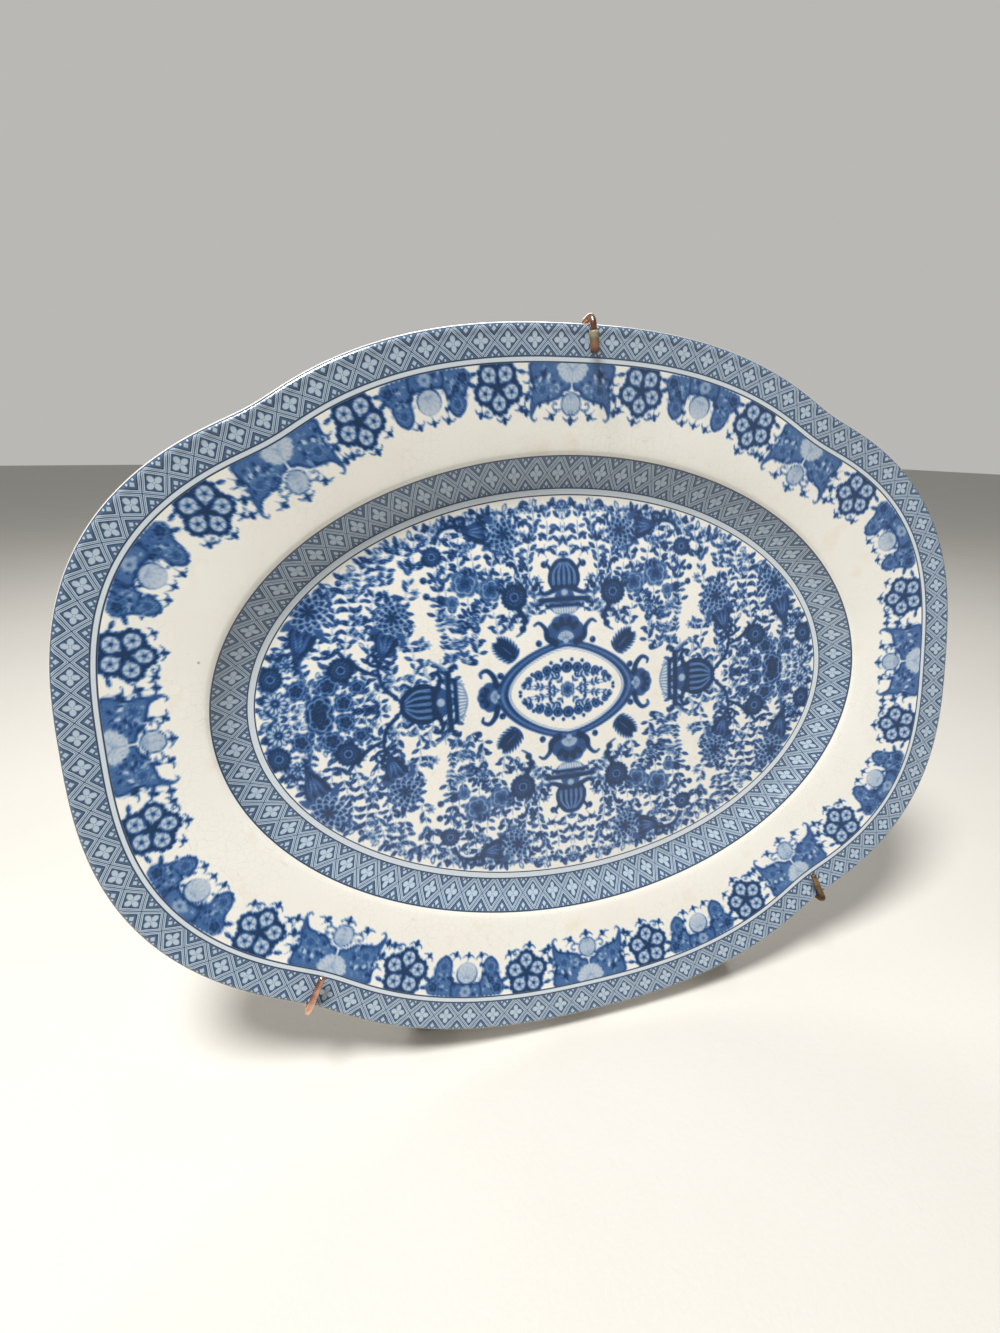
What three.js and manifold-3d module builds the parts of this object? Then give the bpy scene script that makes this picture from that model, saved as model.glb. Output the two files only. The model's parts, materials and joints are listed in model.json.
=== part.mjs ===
// Adjustable three-claw display stand for a large oval platter, with the platter in it.
//
// The platter leans back against three rubber pads and sits in two lower claws. A sprung claw holds
// its top edge.
// A post on a short foot bar carries everything, and a hinged strut props the post from behind.
//
// Two frames are used. The stand frame is the part's own: X to the right, Y to the back, Z up, with
// the ground at Z = 0. The plate frame leans back with the platter: u to the right, v up the platter,
// w out of its face, and its zero is the middle of the platter, in the plane of the rim.
// Lengths are millimetres.

import * as THREE from "three";
import { mergeVertices } from "three/addons/utils/BufferGeometryUtils.js";
import Module from "manifold-3d";

const wasm = await Module();
wasm.setup();

const radians = THREE.MathUtils.degToRad;

// ---------------------------------------------------------------- driving dimensions

const LEAN = radians(12);
const PLATE_HEIGHT = 183; // middle of the platter above the ground
const GAP = 0.3; // clearance between pieces that touch
const SIDES = 16; // facets round a turned piece

// The platter's outline is two overlapping superellipses, one tall and one wide.
// Where they cross is a notch.
const TALL_LOBE = { halfWidth: 202, halfHeight: 178, power: 2.39 };
const WIDE_LOBE = { halfWidth: 235, halfHeight: 156, power: 2.68 };
const NOTCH_SHARPNESS = 120; // higher is sharper
const WELL = { halfWidth: 180.4, halfHeight: 123 }; // where the sloping border meets the well
const WELL_DEPTH = 13.2; // of that edge, behind the rim
const FLOOR_DEPTH = 25.6;
const FOOT_RING = { halfWidth: 164, halfHeight: 106, width: 4 };
const PLATTER_BACK = 35; // back of the foot ring, behind the rim
const RIM_THICKNESS = 6.2;

const SPINE = -47; // w of the post, the arms and the brace
const POST = { radius: 5, bore: 3.9, bottom: -160, top: 182 };
const BOSS = 8.5; // radius of the castings round the post
const FOOT_BAR = { radius: 5, halfLength: 92, y: -10 };
const RUBBER_FOOT = { radius: 8, length: 23, wall: 4.7, flat: 0.4 };

const CLAW_WIRE = 1.6; // radius
const ARM_ANGLE = radians(26); // of each lower arm from the post
const ARM_APEX = 166; // v where the lines of both arms cross the post's
const ARM = { radius: 4, bore: 2, start: 86.5, end: 276 }; // start and end measured from the apex
const FINGER = 17; // length of a lower claw in front of the rim
const FINGER_FRONT = 2.3; // w of the finger's centre line
const FINGER_BACK = -7.5; // w of the wire where it has passed the rim
const BEHIND_RIM = { inset: 9, w: -10.6 }; // where the wire leaves the back of the rim

const TOP_CLAW = { u: 7.4, tip: 8.3, finger: 14, front: 3, rodU: 13.2, bendV: 168, end: 101 };
const CARRIAGE = { bottom: 112, top: 160, lug: 6, screwV: 136 };
const SPRING = { bottom: 128.3, top: 153.7, radius: 3.65, wire: 0.45, turns: 6.5 };

const BRACE_V = -60;
const PAD = { radius: 6, upperU: 38, upperV: 103, lowerV: -106, thickness: 3.9 };
const HINGE = { v: 60, w: -62.3, pin: 2, cheek: 8, slot: 4.5, radius: 6.5, floor: -55.8, screwV: 70.5 };
const STRUT = { open: radians(34.1), radius: 4, tip: 7 };

// ---------------------------------------------------------------- materials

function finish(color, roughness, metalness) {
  return new THREE.MeshStandardMaterial({ color, roughness, metalness });
}

const glaze = () => finish(0xe9e6dd, 0.18, 0);
const brass = () => finish(0xa8763e, 0.36, 1);
const castBrass = () => finish(0x8d6334, 0.5, 1);
const copperWire = () => finish(0xa9673f, 0.32, 1);
const rubber = () => finish(0x1d1c1b, 0.85, 0);
const vinyl = () => finish(0x7a5a38, 0.45, 0);
const springSteel = () => finish(0x8b8f94, 0.35, 1);
const screwSteel = () => finish(0x4b4a48, 0.45, 1);

// ---------------------------------------------------------------- frames

const upright = new THREE.Group();
const leaning = new THREE.Group();
leaning.rotation.x = Math.PI / 2 - LEAN;
leaning.position.z = PLATE_HEIGHT;
leaning.updateMatrix();

const at = (x, y, z) => new THREE.Vector3(x, y, z);
const fromPlate = (point) => point.clone().applyMatrix4(leaning.matrix);

// ---------------------------------------------------------------- solids

// A closed geometry as a solid that can be joined and cut.
function solid(geometry) {
  const bare = geometry.index ? geometry.toNonIndexed() : geometry.clone();
  bare.deleteAttribute("normal");
  bare.deleteAttribute("uv");
  const merged = mergeVertices(bare, 1e-4);
  const vertProperties = new Float32Array(merged.attributes.position.array);
  const triVerts = new Uint32Array(merged.index.array);
  return new wasm.Manifold(new wasm.Mesh({ numProp: 3, vertProperties, triVerts }));
}

// Adds a solid to a frame as a named mesh.
function add(name, frame, material, shape) {
  const { vertProperties, triVerts } = shape.getMesh();
  const geometry = new THREE.BufferGeometry();
  geometry.setAttribute("position", new THREE.BufferAttribute(new Float32Array(vertProperties), 3));
  geometry.setIndex(new THREE.BufferAttribute(new Uint32Array(triVerts), 1));
  geometry.computeVertexNormals();
  const mesh = new THREE.Mesh(geometry, material);
  mesh.name = name;
  frame.add(mesh);
}

// A turned piece: profile points are [radius, distance along the axis from start towards end].
function turned(start, end, profile, sides = SIDES) {
  const geometry = new THREE.LatheGeometry(
    profile.map(([r, along]) => new THREE.Vector2(r, along)),
    sides,
  );
  const axis = end.clone().sub(start).normalize();
  geometry.applyQuaternion(new THREE.Quaternion().setFromUnitVectors(at(0, 1, 0), axis));
  geometry.translate(start.x, start.y, start.z);
  return solid(geometry);
}

// A round bar between two points.
function rod(start, end, radius, sides = SIDES) {
  const length = start.distanceTo(end);
  const profile = [
    [0, 0],
    [radius, 0],
    [radius, length],
    [0, length],
  ];
  return turned(start, end, profile, sides);
}

// A round bar with a chamfer at both ends.
function chamferedRod(start, end, radius, chamfer, sides = SIDES) {
  const length = start.distanceTo(end);
  const profile = [
    [0, 0],
    [radius - chamfer, 0],
    [radius, chamfer],
    [radius, length - chamfer],
    [radius - chamfer, length],
    [0, length],
  ];
  return turned(start, end, profile, sides);
}

// The cutter for a hole: a plain bar that runs a little past both of its points.
function hole(start, end, radius, past = 1) {
  const axis = end.clone().sub(start).normalize();
  const geometry = new THREE.CylinderGeometry(radius, radius, start.distanceTo(end) + 2 * past, SIDES);
  geometry.applyQuaternion(new THREE.Quaternion().setFromUnitVectors(at(0, 1, 0), axis));
  const middle = start.clone().lerp(end, 0.5);
  geometry.translate(middle.x, middle.y, middle.z);
  return solid(geometry);
}

// A hole with a floor at its start: it runs past its end only.
function socket(start, end, radius) {
  const axis = end.clone().sub(start).normalize();
  return hole(start.clone().add(axis), end, radius);
}

function block(low, high) {
  const size = high.clone().sub(low);
  const geometry = new THREE.BoxGeometry(size.x, size.y, size.z);
  const middle = low.clone().lerp(high, 0.5);
  geometry.translate(middle.x, middle.y, middle.z);
  return solid(geometry);
}

const join = (...shapes) => shapes.reduce((whole, shape) => whole.add(shape));
const cut = (whole, ...cutters) => cutters.reduce((left, cutter) => left.subtract(cutter), whole);

// A wire's centre line: straight between corners, with a round bend of its own radius at each inner corner.
// Its stations are spread evenly in the curve's parameter, so that an extrusion has a ring at each.
class BentWire extends THREE.Curve {
  constructor(corners, bends, bendSteps = 6) {
    super();
    this.stations = [corners[0]];
    for (let i = 1; i < corners.length - 1; i += 1) {
      const back = corners[i - 1].clone().sub(corners[i]).normalize();
      const ahead = corners[i + 1].clone().sub(corners[i]).normalize();
      const half = back.angleTo(ahead) / 2;
      const reach = bends[i - 1] / Math.tan(half);
      const centre = back.clone().add(ahead).normalize().multiplyScalar(bends[i - 1] / Math.sin(half));
      centre.add(corners[i]);
      const first = corners[i].clone().addScaledVector(back, reach).sub(centre);
      const last = corners[i].clone().addScaledVector(ahead, reach).sub(centre);
      const sweep = first.angleTo(last);
      for (let step = 0; step <= bendSteps; step += 1) {
        const share = step / bendSteps;
        const point = first.clone().multiplyScalar(Math.sin((1 - share) * sweep));
        point.addScaledVector(last, Math.sin(share * sweep)).divideScalar(Math.sin(sweep));
        this.stations.push(point.add(centre));
      }
    }
    this.stations.push(corners[corners.length - 1]);
  }

  get steps() {
    return this.stations.length - 1;
  }

  getUtoTmapping(u) {
    return u;
  }

  getPoint(t) {
    const place = Math.min(t * this.steps, this.steps - 1e-9);
    const index = Math.floor(place);
    return this.stations[index].clone().lerp(this.stations[index + 1], place - index);
  }

  getTangent(t) {
    const index = Math.round(t * this.steps);
    const here = this.stations[index];
    const before = this.stations[Math.max(index - 1, 0)];
    const after = this.stations[Math.min(index + 1, this.steps)];
    const tangent = at(0, 0, 0);
    if (index > 0) tangent.add(here.clone().sub(before).normalize());
    if (index < this.steps) tangent.add(after.clone().sub(here).normalize());
    return tangent.normalize();
  }
}

function roundSection(radius, sides) {
  const section = new THREE.Shape();
  for (let i = 0; i < sides; i += 1) {
    const angle = (2 * Math.PI * i) / sides;
    const point = [radius * Math.cos(angle), radius * Math.sin(angle)];
    if (i === 0) section.moveTo(...point);
    else section.lineTo(...point);
  }
  return section;
}

function sweep(path, radius, steps, sides = 12) {
  const options = { extrudePath: path, steps, bevelEnabled: false, curveSegments: 1 };
  return solid(new THREE.ExtrudeGeometry(roundSection(radius, sides), options));
}

// ---------------------------------------------------------------- platter

function superellipse({ halfWidth, halfHeight, power }, angle) {
  const across = Math.abs(Math.cos(angle)) / halfWidth;
  const up = Math.abs(Math.sin(angle)) / halfHeight;
  return (across ** power + up ** power) ** (-1 / power);
}

const ellipse = (oval, angle) => superellipse({ ...oval, power: 2 }, angle);

// The outline follows whichever lobe stands further out, and is slightly rounded in the notches.
function outline(angle) {
  const tall = superellipse(TALL_LOBE, angle);
  const wide = superellipse(WIDE_LOBE, angle);
  const most = Math.max(tall, wide);
  const blend = (tall / most) ** NOTCH_SHARPNESS + (wide / most) ** NOTCH_SHARPNESS;
  return most * blend ** (1 / NOTCH_SHARPNESS);
}

// A ring of the platter's surface: how far out it lies at each angle, and its depth behind the rim.
const nearRim = (inset, depth) => ({ radius: (angle) => outline(angle) - inset, depth });
const onBorder = (share, depth) => ({
  radius: (angle) => THREE.MathUtils.lerp(outline(angle), ellipse(WELL, angle), share),
  depth,
});
const onWell = (outset, depth) => ({
  radius: (angle) => {
    const oval = { halfWidth: WELL.halfWidth + outset, halfHeight: WELL.halfHeight + outset };
    return ellipse(oval, angle);
  },
  depth,
});
const onFoot = (outset, depth) => onWell(FOOT_RING.halfWidth - WELL.halfWidth + outset, depth);

function platter() {
  const around = 64;
  const floorBack = FLOOR_DEPTH + RIM_THICKNESS;
  const rings = [
    onWell(-19.4, FLOOR_DEPTH - 0.2),
    onWell(-14.5, FLOOR_DEPTH - 1.2),
    onWell(-10.6, FLOOR_DEPTH - 3.2),
    onWell(-5, WELL_DEPTH + 4.7),
    onWell(-1, WELL_DEPTH + 0.9),
    onBorder(0.95, WELL_DEPTH - 0.7),
    onBorder(0.5, WELL_DEPTH / 2),
    nearRim(3, 0),
    nearRim(1, 0.7),
    nearRim(0, 2.8),
    nearRim(0.7, 5.2),
    nearRim(2.8, RIM_THICKNESS),
    onBorder(0.5, WELL_DEPTH / 2 + RIM_THICKNESS),
    onBorder(0.95, WELL_DEPTH + RIM_THICKNESS),
    onWell(-1, WELL_DEPTH + 11.2),
    onWell(-8, WELL_DEPTH + 17),
    onFoot(FOOT_RING.width, floorBack),
    onFoot(FOOT_RING.width / 2, PLATTER_BACK),
    onFoot(-FOOT_RING.width / 2, PLATTER_BACK),
    onFoot(-FOOT_RING.width, floorBack),
  ];
  const positions = [0, 0, -FLOOR_DEPTH];
  for (const ring of rings) {
    for (let i = 0; i < around; i += 1) {
      const angle = (2 * Math.PI * i) / around;
      const radius = ring.radius(angle);
      positions.push(radius * Math.cos(angle), radius * Math.sin(angle), -ring.depth);
    }
  }
  const lastPoint = positions.length / 3;
  positions.push(0, 0, -floorBack);

  const vertex = (ring, i) => 1 + ring * around + (i % around);
  const faces = [];
  for (let i = 0; i < around; i += 1) {
    faces.push(0, vertex(0, i), vertex(0, i + 1));
    for (let ring = 0; ring < rings.length - 1; ring += 1) {
      faces.push(vertex(ring, i), vertex(ring + 1, i), vertex(ring + 1, i + 1));
      faces.push(vertex(ring, i), vertex(ring + 1, i + 1), vertex(ring, i + 1));
    }
    faces.push(vertex(rings.length - 1, i), lastPoint, vertex(rings.length - 1, i + 1));
  }
  const geometry = new THREE.BufferGeometry();
  geometry.setAttribute("position", new THREE.Float32BufferAttribute(positions, 3));
  geometry.setIndex(faces);
  return solid(geometry);
}

// How far the platter's edge lies from a point inside it, over the width of a claw's wire.
function reachOfEdge(origin, direction) {
  const side = at(-direction.y, direction.x, 0);
  let furthest = 0;
  for (const offset of [-CLAW_WIRE, 0, CLAW_WIRE]) {
    let inside = 0;
    let outside = 600;
    while (outside - inside > 0.01) {
      const middle = (inside + outside) / 2;
      const point = origin.clone().addScaledVector(direction, middle).addScaledVector(side, offset);
      const isInside = Math.hypot(point.x, point.y) < outline(Math.atan2(point.y, point.x));
      if (isInside) inside = middle;
      else outside = middle;
    }
    furthest = Math.max(furthest, inside);
  }
  return furthest;
}

add("platter", leaning, glaze(), platter());

// ---------------------------------------------------------------- set screws

// A hex socket set screw, driven along direction until its tip is at the given point.
function setScrew(name, frame, tip, direction, length) {
  const head = tip.clone().addScaledVector(direction, -length);
  const hexRadius = 1.15;
  const hex = new THREE.CylinderGeometry(hexRadius, hexRadius, 3, 6);
  hex.applyQuaternion(new THREE.Quaternion().setFromUnitVectors(at(0, 1, 0), direction));
  hex.translate(head.x, head.y, head.z);
  add(name, frame, screwSteel(), cut(rod(head, tip, 2, 12), solid(hex)));
}

const screwHole = (tip, direction) => hole(tip.clone().addScaledVector(direction, -8), tip, 2 + GAP);

// Set screws enter the castings from behind, so they point to the front.
const forward = at(0, 0, 1);
const upPost = (v, w = SPINE) => at(0, v, w);
const postScrewTip = (v) => upPost(v, SPINE - POST.radius - GAP);
const postBore = (low, high) => hole(upPost(low), upPost(high), POST.radius + GAP);

// ---------------------------------------------------------------- post and foot

function post() {
  const tube = rod(upPost(POST.bottom), upPost(POST.top), POST.radius);
  const braceHole = hole(at(-10, BRACE_V, SPINE), at(10, BRACE_V, SPINE), 3 + GAP);
  return cut(tube, hole(upPost(POST.bottom), upPost(POST.top), POST.bore), braceHole);
}

function postCap() {
  const plug = POST.bore - GAP;
  const head = POST.radius + 0.6;
  const profile = [
    [0, 0],
    [plug, 0],
    [plug, 8],
    [head, 8],
    [head, 10],
    [head * 0.8, 11.8],
    [head * 0.4, 12.8],
    [0, 13.1],
  ];
  return turned(upPost(POST.top + GAP - 8), upPost(POST.top + 8), profile);
}

const footBarHeight = RUBBER_FOOT.radius - RUBBER_FOOT.flat;
const onFootBar = (x) => at(x, FOOT_BAR.y, footBarHeight);

function footBracket() {
  const postEnd = fromPlate(upPost(POST.bottom - 5));
  const postGrip = fromPlate(upPost(-138));
  const postBoss = rod(postEnd, postGrip, BOSS);
  const barBoss = rod(onFootBar(-12), onFootBar(12), 7.4);
  const link = rod(onFootBar(0), fromPlate(upPost(-152)), 6.5);
  const postSocket = socket(fromPlate(upPost(POST.bottom - GAP)), postGrip, POST.radius + GAP);
  const barBore = hole(onFootBar(-12), onFootBar(12), FOOT_BAR.radius + GAP);
  const screw = screwHole(fromPlate(postScrewTip(-146)), forward.clone().transformDirection(leaning.matrix));
  return cut(join(postBoss, barBoss, link), postSocket, barBore, screw);
}

function footBar() {
  return chamferedRod(onFootBar(-FOOT_BAR.halfLength), onFootBar(FOOT_BAR.halfLength), FOOT_BAR.radius, 0.5);
}

// A rubber cup over the bar's end, flat where it stands on the ground.
function rubberFoot(side) {
  const end = FOOT_BAR.halfLength + RUBBER_FOOT.wall;
  const open = end - RUBBER_FOOT.length;
  const cup = chamferedRod(onFootBar(side * open), onFootBar(side * end), RUBBER_FOOT.radius, 1.2);
  const floor = FOOT_BAR.halfLength + GAP;
  const bore = socket(onFootBar(side * floor), onFootBar(side * open), FOOT_BAR.radius + GAP);
  return cut(cup, bore, block(at(-200, -200, -40), at(200, 200, 0)));
}

add("post_tube", leaning, brass(), post());
add("post_cap", leaning, brass(), postCap());
add("foot_bar", upright, brass(), footBar());
add("foot_bracket", upright, castBrass(), footBracket());
add("rubber_foot_left", upright, rubber(), rubberFoot(-1));
add("rubber_foot_right", upright, rubber(), rubberFoot(1));
setScrew("foot_set_screw", leaning, postScrewTip(-146), forward, 3);

// ---------------------------------------------------------------- yoke and lower arms

// Each arm runs from the apex down and outwards; side is -1 for the left one and 1 for the right.
const armDirection = (side) => at(side * Math.sin(ARM_ANGLE), -Math.cos(ARM_ANGLE), 0);
const onArm = (side, distance, w = SPINE) => at(0, ARM_APEX, w).addScaledVector(armDirection(side), distance);
const armBore = (side, from, to) => hole(onArm(side, from), onArm(side, to), ARM.radius + GAP);
const armScrewTip = (side, distance) => onArm(side, distance, SPINE - ARM.radius - GAP);

const padFace = -PLATTER_BACK - GAP; // w of the pads' front faces
const padSeat = padFace - PAD.thickness - GAP; // w of the faces that the pads are fixed to

function yoke() {
  const low = 78;
  const high = 98;
  let casting = rod(upPost(low), upPost(high), BOSS);
  casting = join(casting, block(at(-40, 82, SPINE - 5), at(40, 93, SPINE + 5)));
  for (const side of [-1, 1]) {
    const ear = (w) => at(side * PAD.upperU, PAD.upperV, w);
    casting = join(
      casting,
      rod(onArm(side, 78), onArm(side, 106), 7),
      rod(ear(SPINE - 4), ear(padSeat), 7),
    );
  }
  const armScrew = 99;
  for (const side of [-1, 1]) {
    const arm = socket(onArm(side, ARM.start - GAP), onArm(side, 106), ARM.radius + GAP);
    casting = cut(casting, arm, screwHole(armScrewTip(side, armScrew), forward));
    const name = side < 0 ? "yoke_set_screw_left" : "yoke_set_screw_right";
    setScrew(name, leaning, armScrewTip(side, armScrew), forward, 2.6);
  }
  return cut(casting, postBore(low, high), screwHole(postScrewTip(87.5), forward));
}

function armTube(side) {
  const tube = rod(onArm(side, ARM.start), onArm(side, ARM.end), ARM.radius);
  return cut(tube, hole(onArm(side, ARM.start), onArm(side, ARM.end), ARM.bore));
}

add("yoke", leaning, castBrass(), yoke());
setScrew("yoke_set_screw_post", leaning, postScrewTip(87.5), forward, 3);

// ---------------------------------------------------------------- locking collars and thumb screws

// A thumb screw along w, with its tip at the given point and a knurled head behind.
function thumbScrew(tip, headStart) {
  const neck = at(tip.x, tip.y, headStart + 1.2);
  const shank = rod(at(tip.x, tip.y, headStart - 1), tip, 2, 12);
  const collar = rod(at(tip.x, tip.y, headStart - 0.5), neck, 4.2);
  const teeth = 18;
  const knurl = new THREE.Shape();
  for (let i = 0; i < 2 * teeth; i += 1) {
    const angle = (Math.PI * i) / teeth;
    const radius = i % 2 ? 6.6 : 7.1;
    const point = [radius * Math.cos(angle), radius * Math.sin(angle)];
    if (i === 0) knurl.moveTo(...point);
    else knurl.lineTo(...point);
  }
  const bevel = { bevelThickness: 0.7, bevelSize: 0.6, bevelOffset: -0.6, bevelSegments: 1 };
  const head = new THREE.ExtrudeGeometry(knurl, { depth: 5.6, steps: 1, ...bevel });
  head.translate(tip.x, tip.y, headStart - 6.3);
  return join(shank, collar, solid(head));
}

function lockingCollar(side) {
  const start = 264;
  const end = 289;
  const screwAt = 282.8;
  const body = chamferedRod(onArm(side, start), onArm(side, end), 7, 0.8);
  const boss = rod(onArm(side, screwAt), onArm(side, screwAt, SPINE - 9.5), 4.4);
  const tip = onArm(side, screwAt, SPINE - CLAW_WIRE - GAP);
  const collar = cut(
    join(body, boss),
    armBore(side, start - 2, ARM.end + GAP - 1),
    hole(onArm(side, start), onArm(side, end), ARM.bore),
    hole(tip, onArm(side, screwAt, SPINE - 9.5), 2 + GAP),
  );
  return { collar, screw: thumbScrew(tip, SPINE - 12) };
}

// ---------------------------------------------------------------- claws

function lowerClaw(side) {
  const edge = reachOfEdge(at(0, ARM_APEX, 0), armDirection(side));
  const outer = edge + CLAW_WIRE + 0.4;
  const corners = [
    onArm(side, edge - FINGER, FINGER_FRONT),
    onArm(side, outer, FINGER_FRONT),
    onArm(side, outer, FINGER_BACK),
    onArm(side, edge - BEHIND_RIM.inset, BEHIND_RIM.w),
    onArm(side, edge - 40, SPINE),
    onArm(side, 188, SPINE),
  ];
  const path = new BentWire(corners, [3.8, 4, 4, 7]);
  const tipBall = new THREE.SphereGeometry(CLAW_WIRE - 0.02, 12, 6);
  tipBall.translate(...corners[0].toArray());
  return join(sweep(path, CLAW_WIRE, path.steps), solid(tipBall));
}

function topClawCorners() {
  const edge = reachOfEdge(at(TOP_CLAW.u, 0, 0), at(0, 1, 0));
  const outer = edge + CLAW_WIRE + 0.4;
  return [
    at(TOP_CLAW.tip, edge - TOP_CLAW.finger, TOP_CLAW.front),
    at(TOP_CLAW.u, outer, TOP_CLAW.front),
    at(TOP_CLAW.u, outer, FINGER_BACK),
    at(TOP_CLAW.u + 0.8, edge - BEHIND_RIM.inset, BEHIND_RIM.w),
    at(TOP_CLAW.rodU, TOP_CLAW.bendV, SPINE),
    at(TOP_CLAW.rodU, TOP_CLAW.end, SPINE),
  ];
}

function topClaw() {
  const corners = topClawCorners();
  const path = new BentWire(corners, [4, 4, 4, 6]);
  return sweep(path, CLAW_WIRE, path.steps);
}

// A soft tube over the top claw's finger, so that it doesn't mark the glaze.
function clawSleeve() {
  const [tip, bend] = topClawCorners();
  const up = bend.clone().sub(tip).normalize();
  const end = tip.clone().addScaledVector(up, -0.6);
  const mouth = tip.clone().addScaledVector(up, 8.6);
  const tube = rod(end, mouth, CLAW_WIRE + 0.6);
  const rolledEdge = chamferedRod(mouth.clone().addScaledVector(up, -1.6), mouth, CLAW_WIRE + 0.85, 0.35);
  return cut(join(tube, rolledEdge), socket(tip.clone().addScaledVector(up, -0.3), mouth, CLAW_WIRE + 0.2));
}

for (const side of [-1, 1]) {
  const name = side < 0 ? "left" : "right";
  const { collar, screw } = lockingCollar(side);
  add(`arm_tube_${name}`, leaning, brass(), armTube(side));
  add(`locking_collar_${name}`, leaning, castBrass(), collar);
  add(`collar_thumb_screw_${name}`, leaning, brass(), screw);
  add(`lower_claw_${name}`, leaning, copperWire(), lowerClaw(side));
}
add("top_claw", leaning, copperWire(), topClaw());
add("top_claw_sleeve", leaning, vinyl(), clawSleeve());

// ---------------------------------------------------------------- carriage of the top claw

const onRod = (v) => at(TOP_CLAW.rodU, v, SPINE);

function carriage() {
  const { bottom, top, lug, screwV } = CARRIAGE;
  let casting = join(
    chamferedRod(upPost(bottom), upPost(top), BOSS - 0.3, 0.8),
    rod(upPost(screwV), upPost(screwV, SPINE - 11.5), 4.6),
  );
  for (const low of [bottom, top - lug]) {
    const arm = block(at(0, low, SPINE - 4.6), at(TOP_CLAW.rodU, low + lug, SPINE + 4.6));
    casting = join(casting, arm, rod(onRod(low), onRod(low + lug), 4.6));
  }
  return cut(
    casting,
    postBore(bottom, top),
    hole(onRod(bottom), onRod(top), CLAW_WIRE + 0.4),
    hole(postScrewTip(screwV), upPost(screwV, SPINE - 11.5), 2 + GAP),
  );
}

// A compression spring round the claw's rod, between the carriage's upper lug and the stop collar.
class Coil extends THREE.Curve {
  getPoint(t) {
    const angle = 2 * Math.PI * SPRING.turns * t;
    const wire = SPRING.wire;
    const rise = THREE.MathUtils.lerp(SPRING.bottom + wire, SPRING.top - wire, t);
    return onRod(rise).add(at(SPRING.radius * Math.cos(angle), 0, SPRING.radius * Math.sin(angle)));
  }
}

function stopCollar() {
  const top = SPRING.bottom - GAP;
  const ring = chamferedRod(onRod(top - 6), onRod(top), 4.2, 0.5);
  return cut(ring, hole(onRod(top - 6), onRod(top), CLAW_WIRE + GAP));
}

add("top_carriage", leaning, castBrass(), carriage());
add("carriage_thumb_screw", leaning, brass(), thumbScrew(postScrewTip(CARRIAGE.screwV), SPINE - 14));
add("claw_spring", leaning, springSteel(), sweep(new Coil(), SPRING.wire, Math.round(SPRING.turns * 12), 6));
add("spring_stop_collar", leaning, brass(), stopCollar());

// ---------------------------------------------------------------- brace between post and arms

const braceStop = ARM_APEX - BRACE_V; // v distance from the apex
const braceOnArm = braceStop / Math.cos(ARM_ANGLE);
const braceEnd = braceStop * Math.tan(ARM_ANGLE) - 6.4;
const onBrace = (u) => at(u, BRACE_V, SPINE);

function braceHub() {
  const [low, high] = [BRACE_V - 9, BRACE_V + 9];
  const casting = join(rod(upPost(low), upPost(high), BOSS), rod(onBrace(-13), onBrace(13), 5.6));
  return cut(
    casting,
    postBore(low, high),
    hole(onBrace(-13), onBrace(13), 3 + GAP),
    screwHole(postScrewTip(BRACE_V + 5.5), forward),
  );
}

function braceClamp(side) {
  const [near, far] = [braceOnArm - 9, braceOnArm + 9];
  const inner = onBrace(side * (braceEnd - 9));
  const casting = join(
    rod(onArm(side, near), onArm(side, far), 7),
    rod(inner, onBrace(side * (braceEnd + 5)), 5.4),
  );
  return cut(
    casting,
    armBore(side, near, far),
    socket(onBrace(side * (braceEnd + GAP)), inner, 3 + GAP),
    screwHole(armScrewTip(side, braceOnArm + 4), forward),
  );
}

add("brace_rod", leaning, brass(), rod(onBrace(-braceEnd), onBrace(braceEnd), 3));
add("brace_hub", leaning, castBrass(), braceHub());
setScrew("brace_hub_set_screw", leaning, postScrewTip(BRACE_V + 5.5), forward, 3);
for (const side of [-1, 1]) {
  const name = side < 0 ? "left" : "right";
  add(`brace_clamp_${name}`, leaning, castBrass(), braceClamp(side));
  setScrew(`brace_clamp_set_screw_${name}`, leaning, armScrewTip(side, braceOnArm + 4), forward, 2.6);
}

// ---------------------------------------------------------------- pads behind the platter's foot ring

function padSaddle() {
  const [low, high] = [PAD.lowerV - 7, PAD.lowerV + 7];
  const casting = join(
    rod(upPost(low), upPost(high), BOSS - 1.2),
    rod(upPost(PAD.lowerV), upPost(PAD.lowerV, padSeat), 7),
  );
  return cut(casting, postBore(low, high), screwHole(postScrewTip(PAD.lowerV), forward));
}

function pad(u, v) {
  const back = padSeat + GAP;
  return chamferedRod(at(u, v, back), at(u, v, padFace), PAD.radius, 0.8);
}

add("pad_saddle", leaning, castBrass(), padSaddle());
setScrew("pad_saddle_set_screw", leaning, postScrewTip(PAD.lowerV), forward, 2.4);
add("pad_lower", leaning, rubber(), pad(0, PAD.lowerV));
add("pad_upper_left", leaning, rubber(), pad(-PAD.upperU, PAD.upperV));
add("pad_upper_right", leaning, rubber(), pad(PAD.upperU, PAD.upperV));

// ---------------------------------------------------------------- rear strut and its hinge

const onPin = (u) => at(u, HINGE.v, HINGE.w);

function clevis() {
  const [low, high] = [HINGE.v - HINGE.radius, HINGE.v + HINGE.radius];
  const casting = join(
    rod(upPost(low - 3), upPost(high + 8), BOSS),
    block(at(-HINGE.cheek, low, HINGE.w), at(HINGE.cheek, high, SPINE)),
    rod(onPin(-HINGE.cheek), onPin(HINGE.cheek), HINGE.radius),
  );
  return cut(
    casting,
    block(at(-HINGE.slot, low - 10, HINGE.w - 20), at(HINGE.slot, high + 10, HINGE.floor)),
    postBore(low - 3, high + 8),
    hole(onPin(-HINGE.cheek), onPin(HINGE.cheek), HINGE.pin + GAP),
    screwHole(postScrewTip(HINGE.screwV), forward),
  );
}

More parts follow.
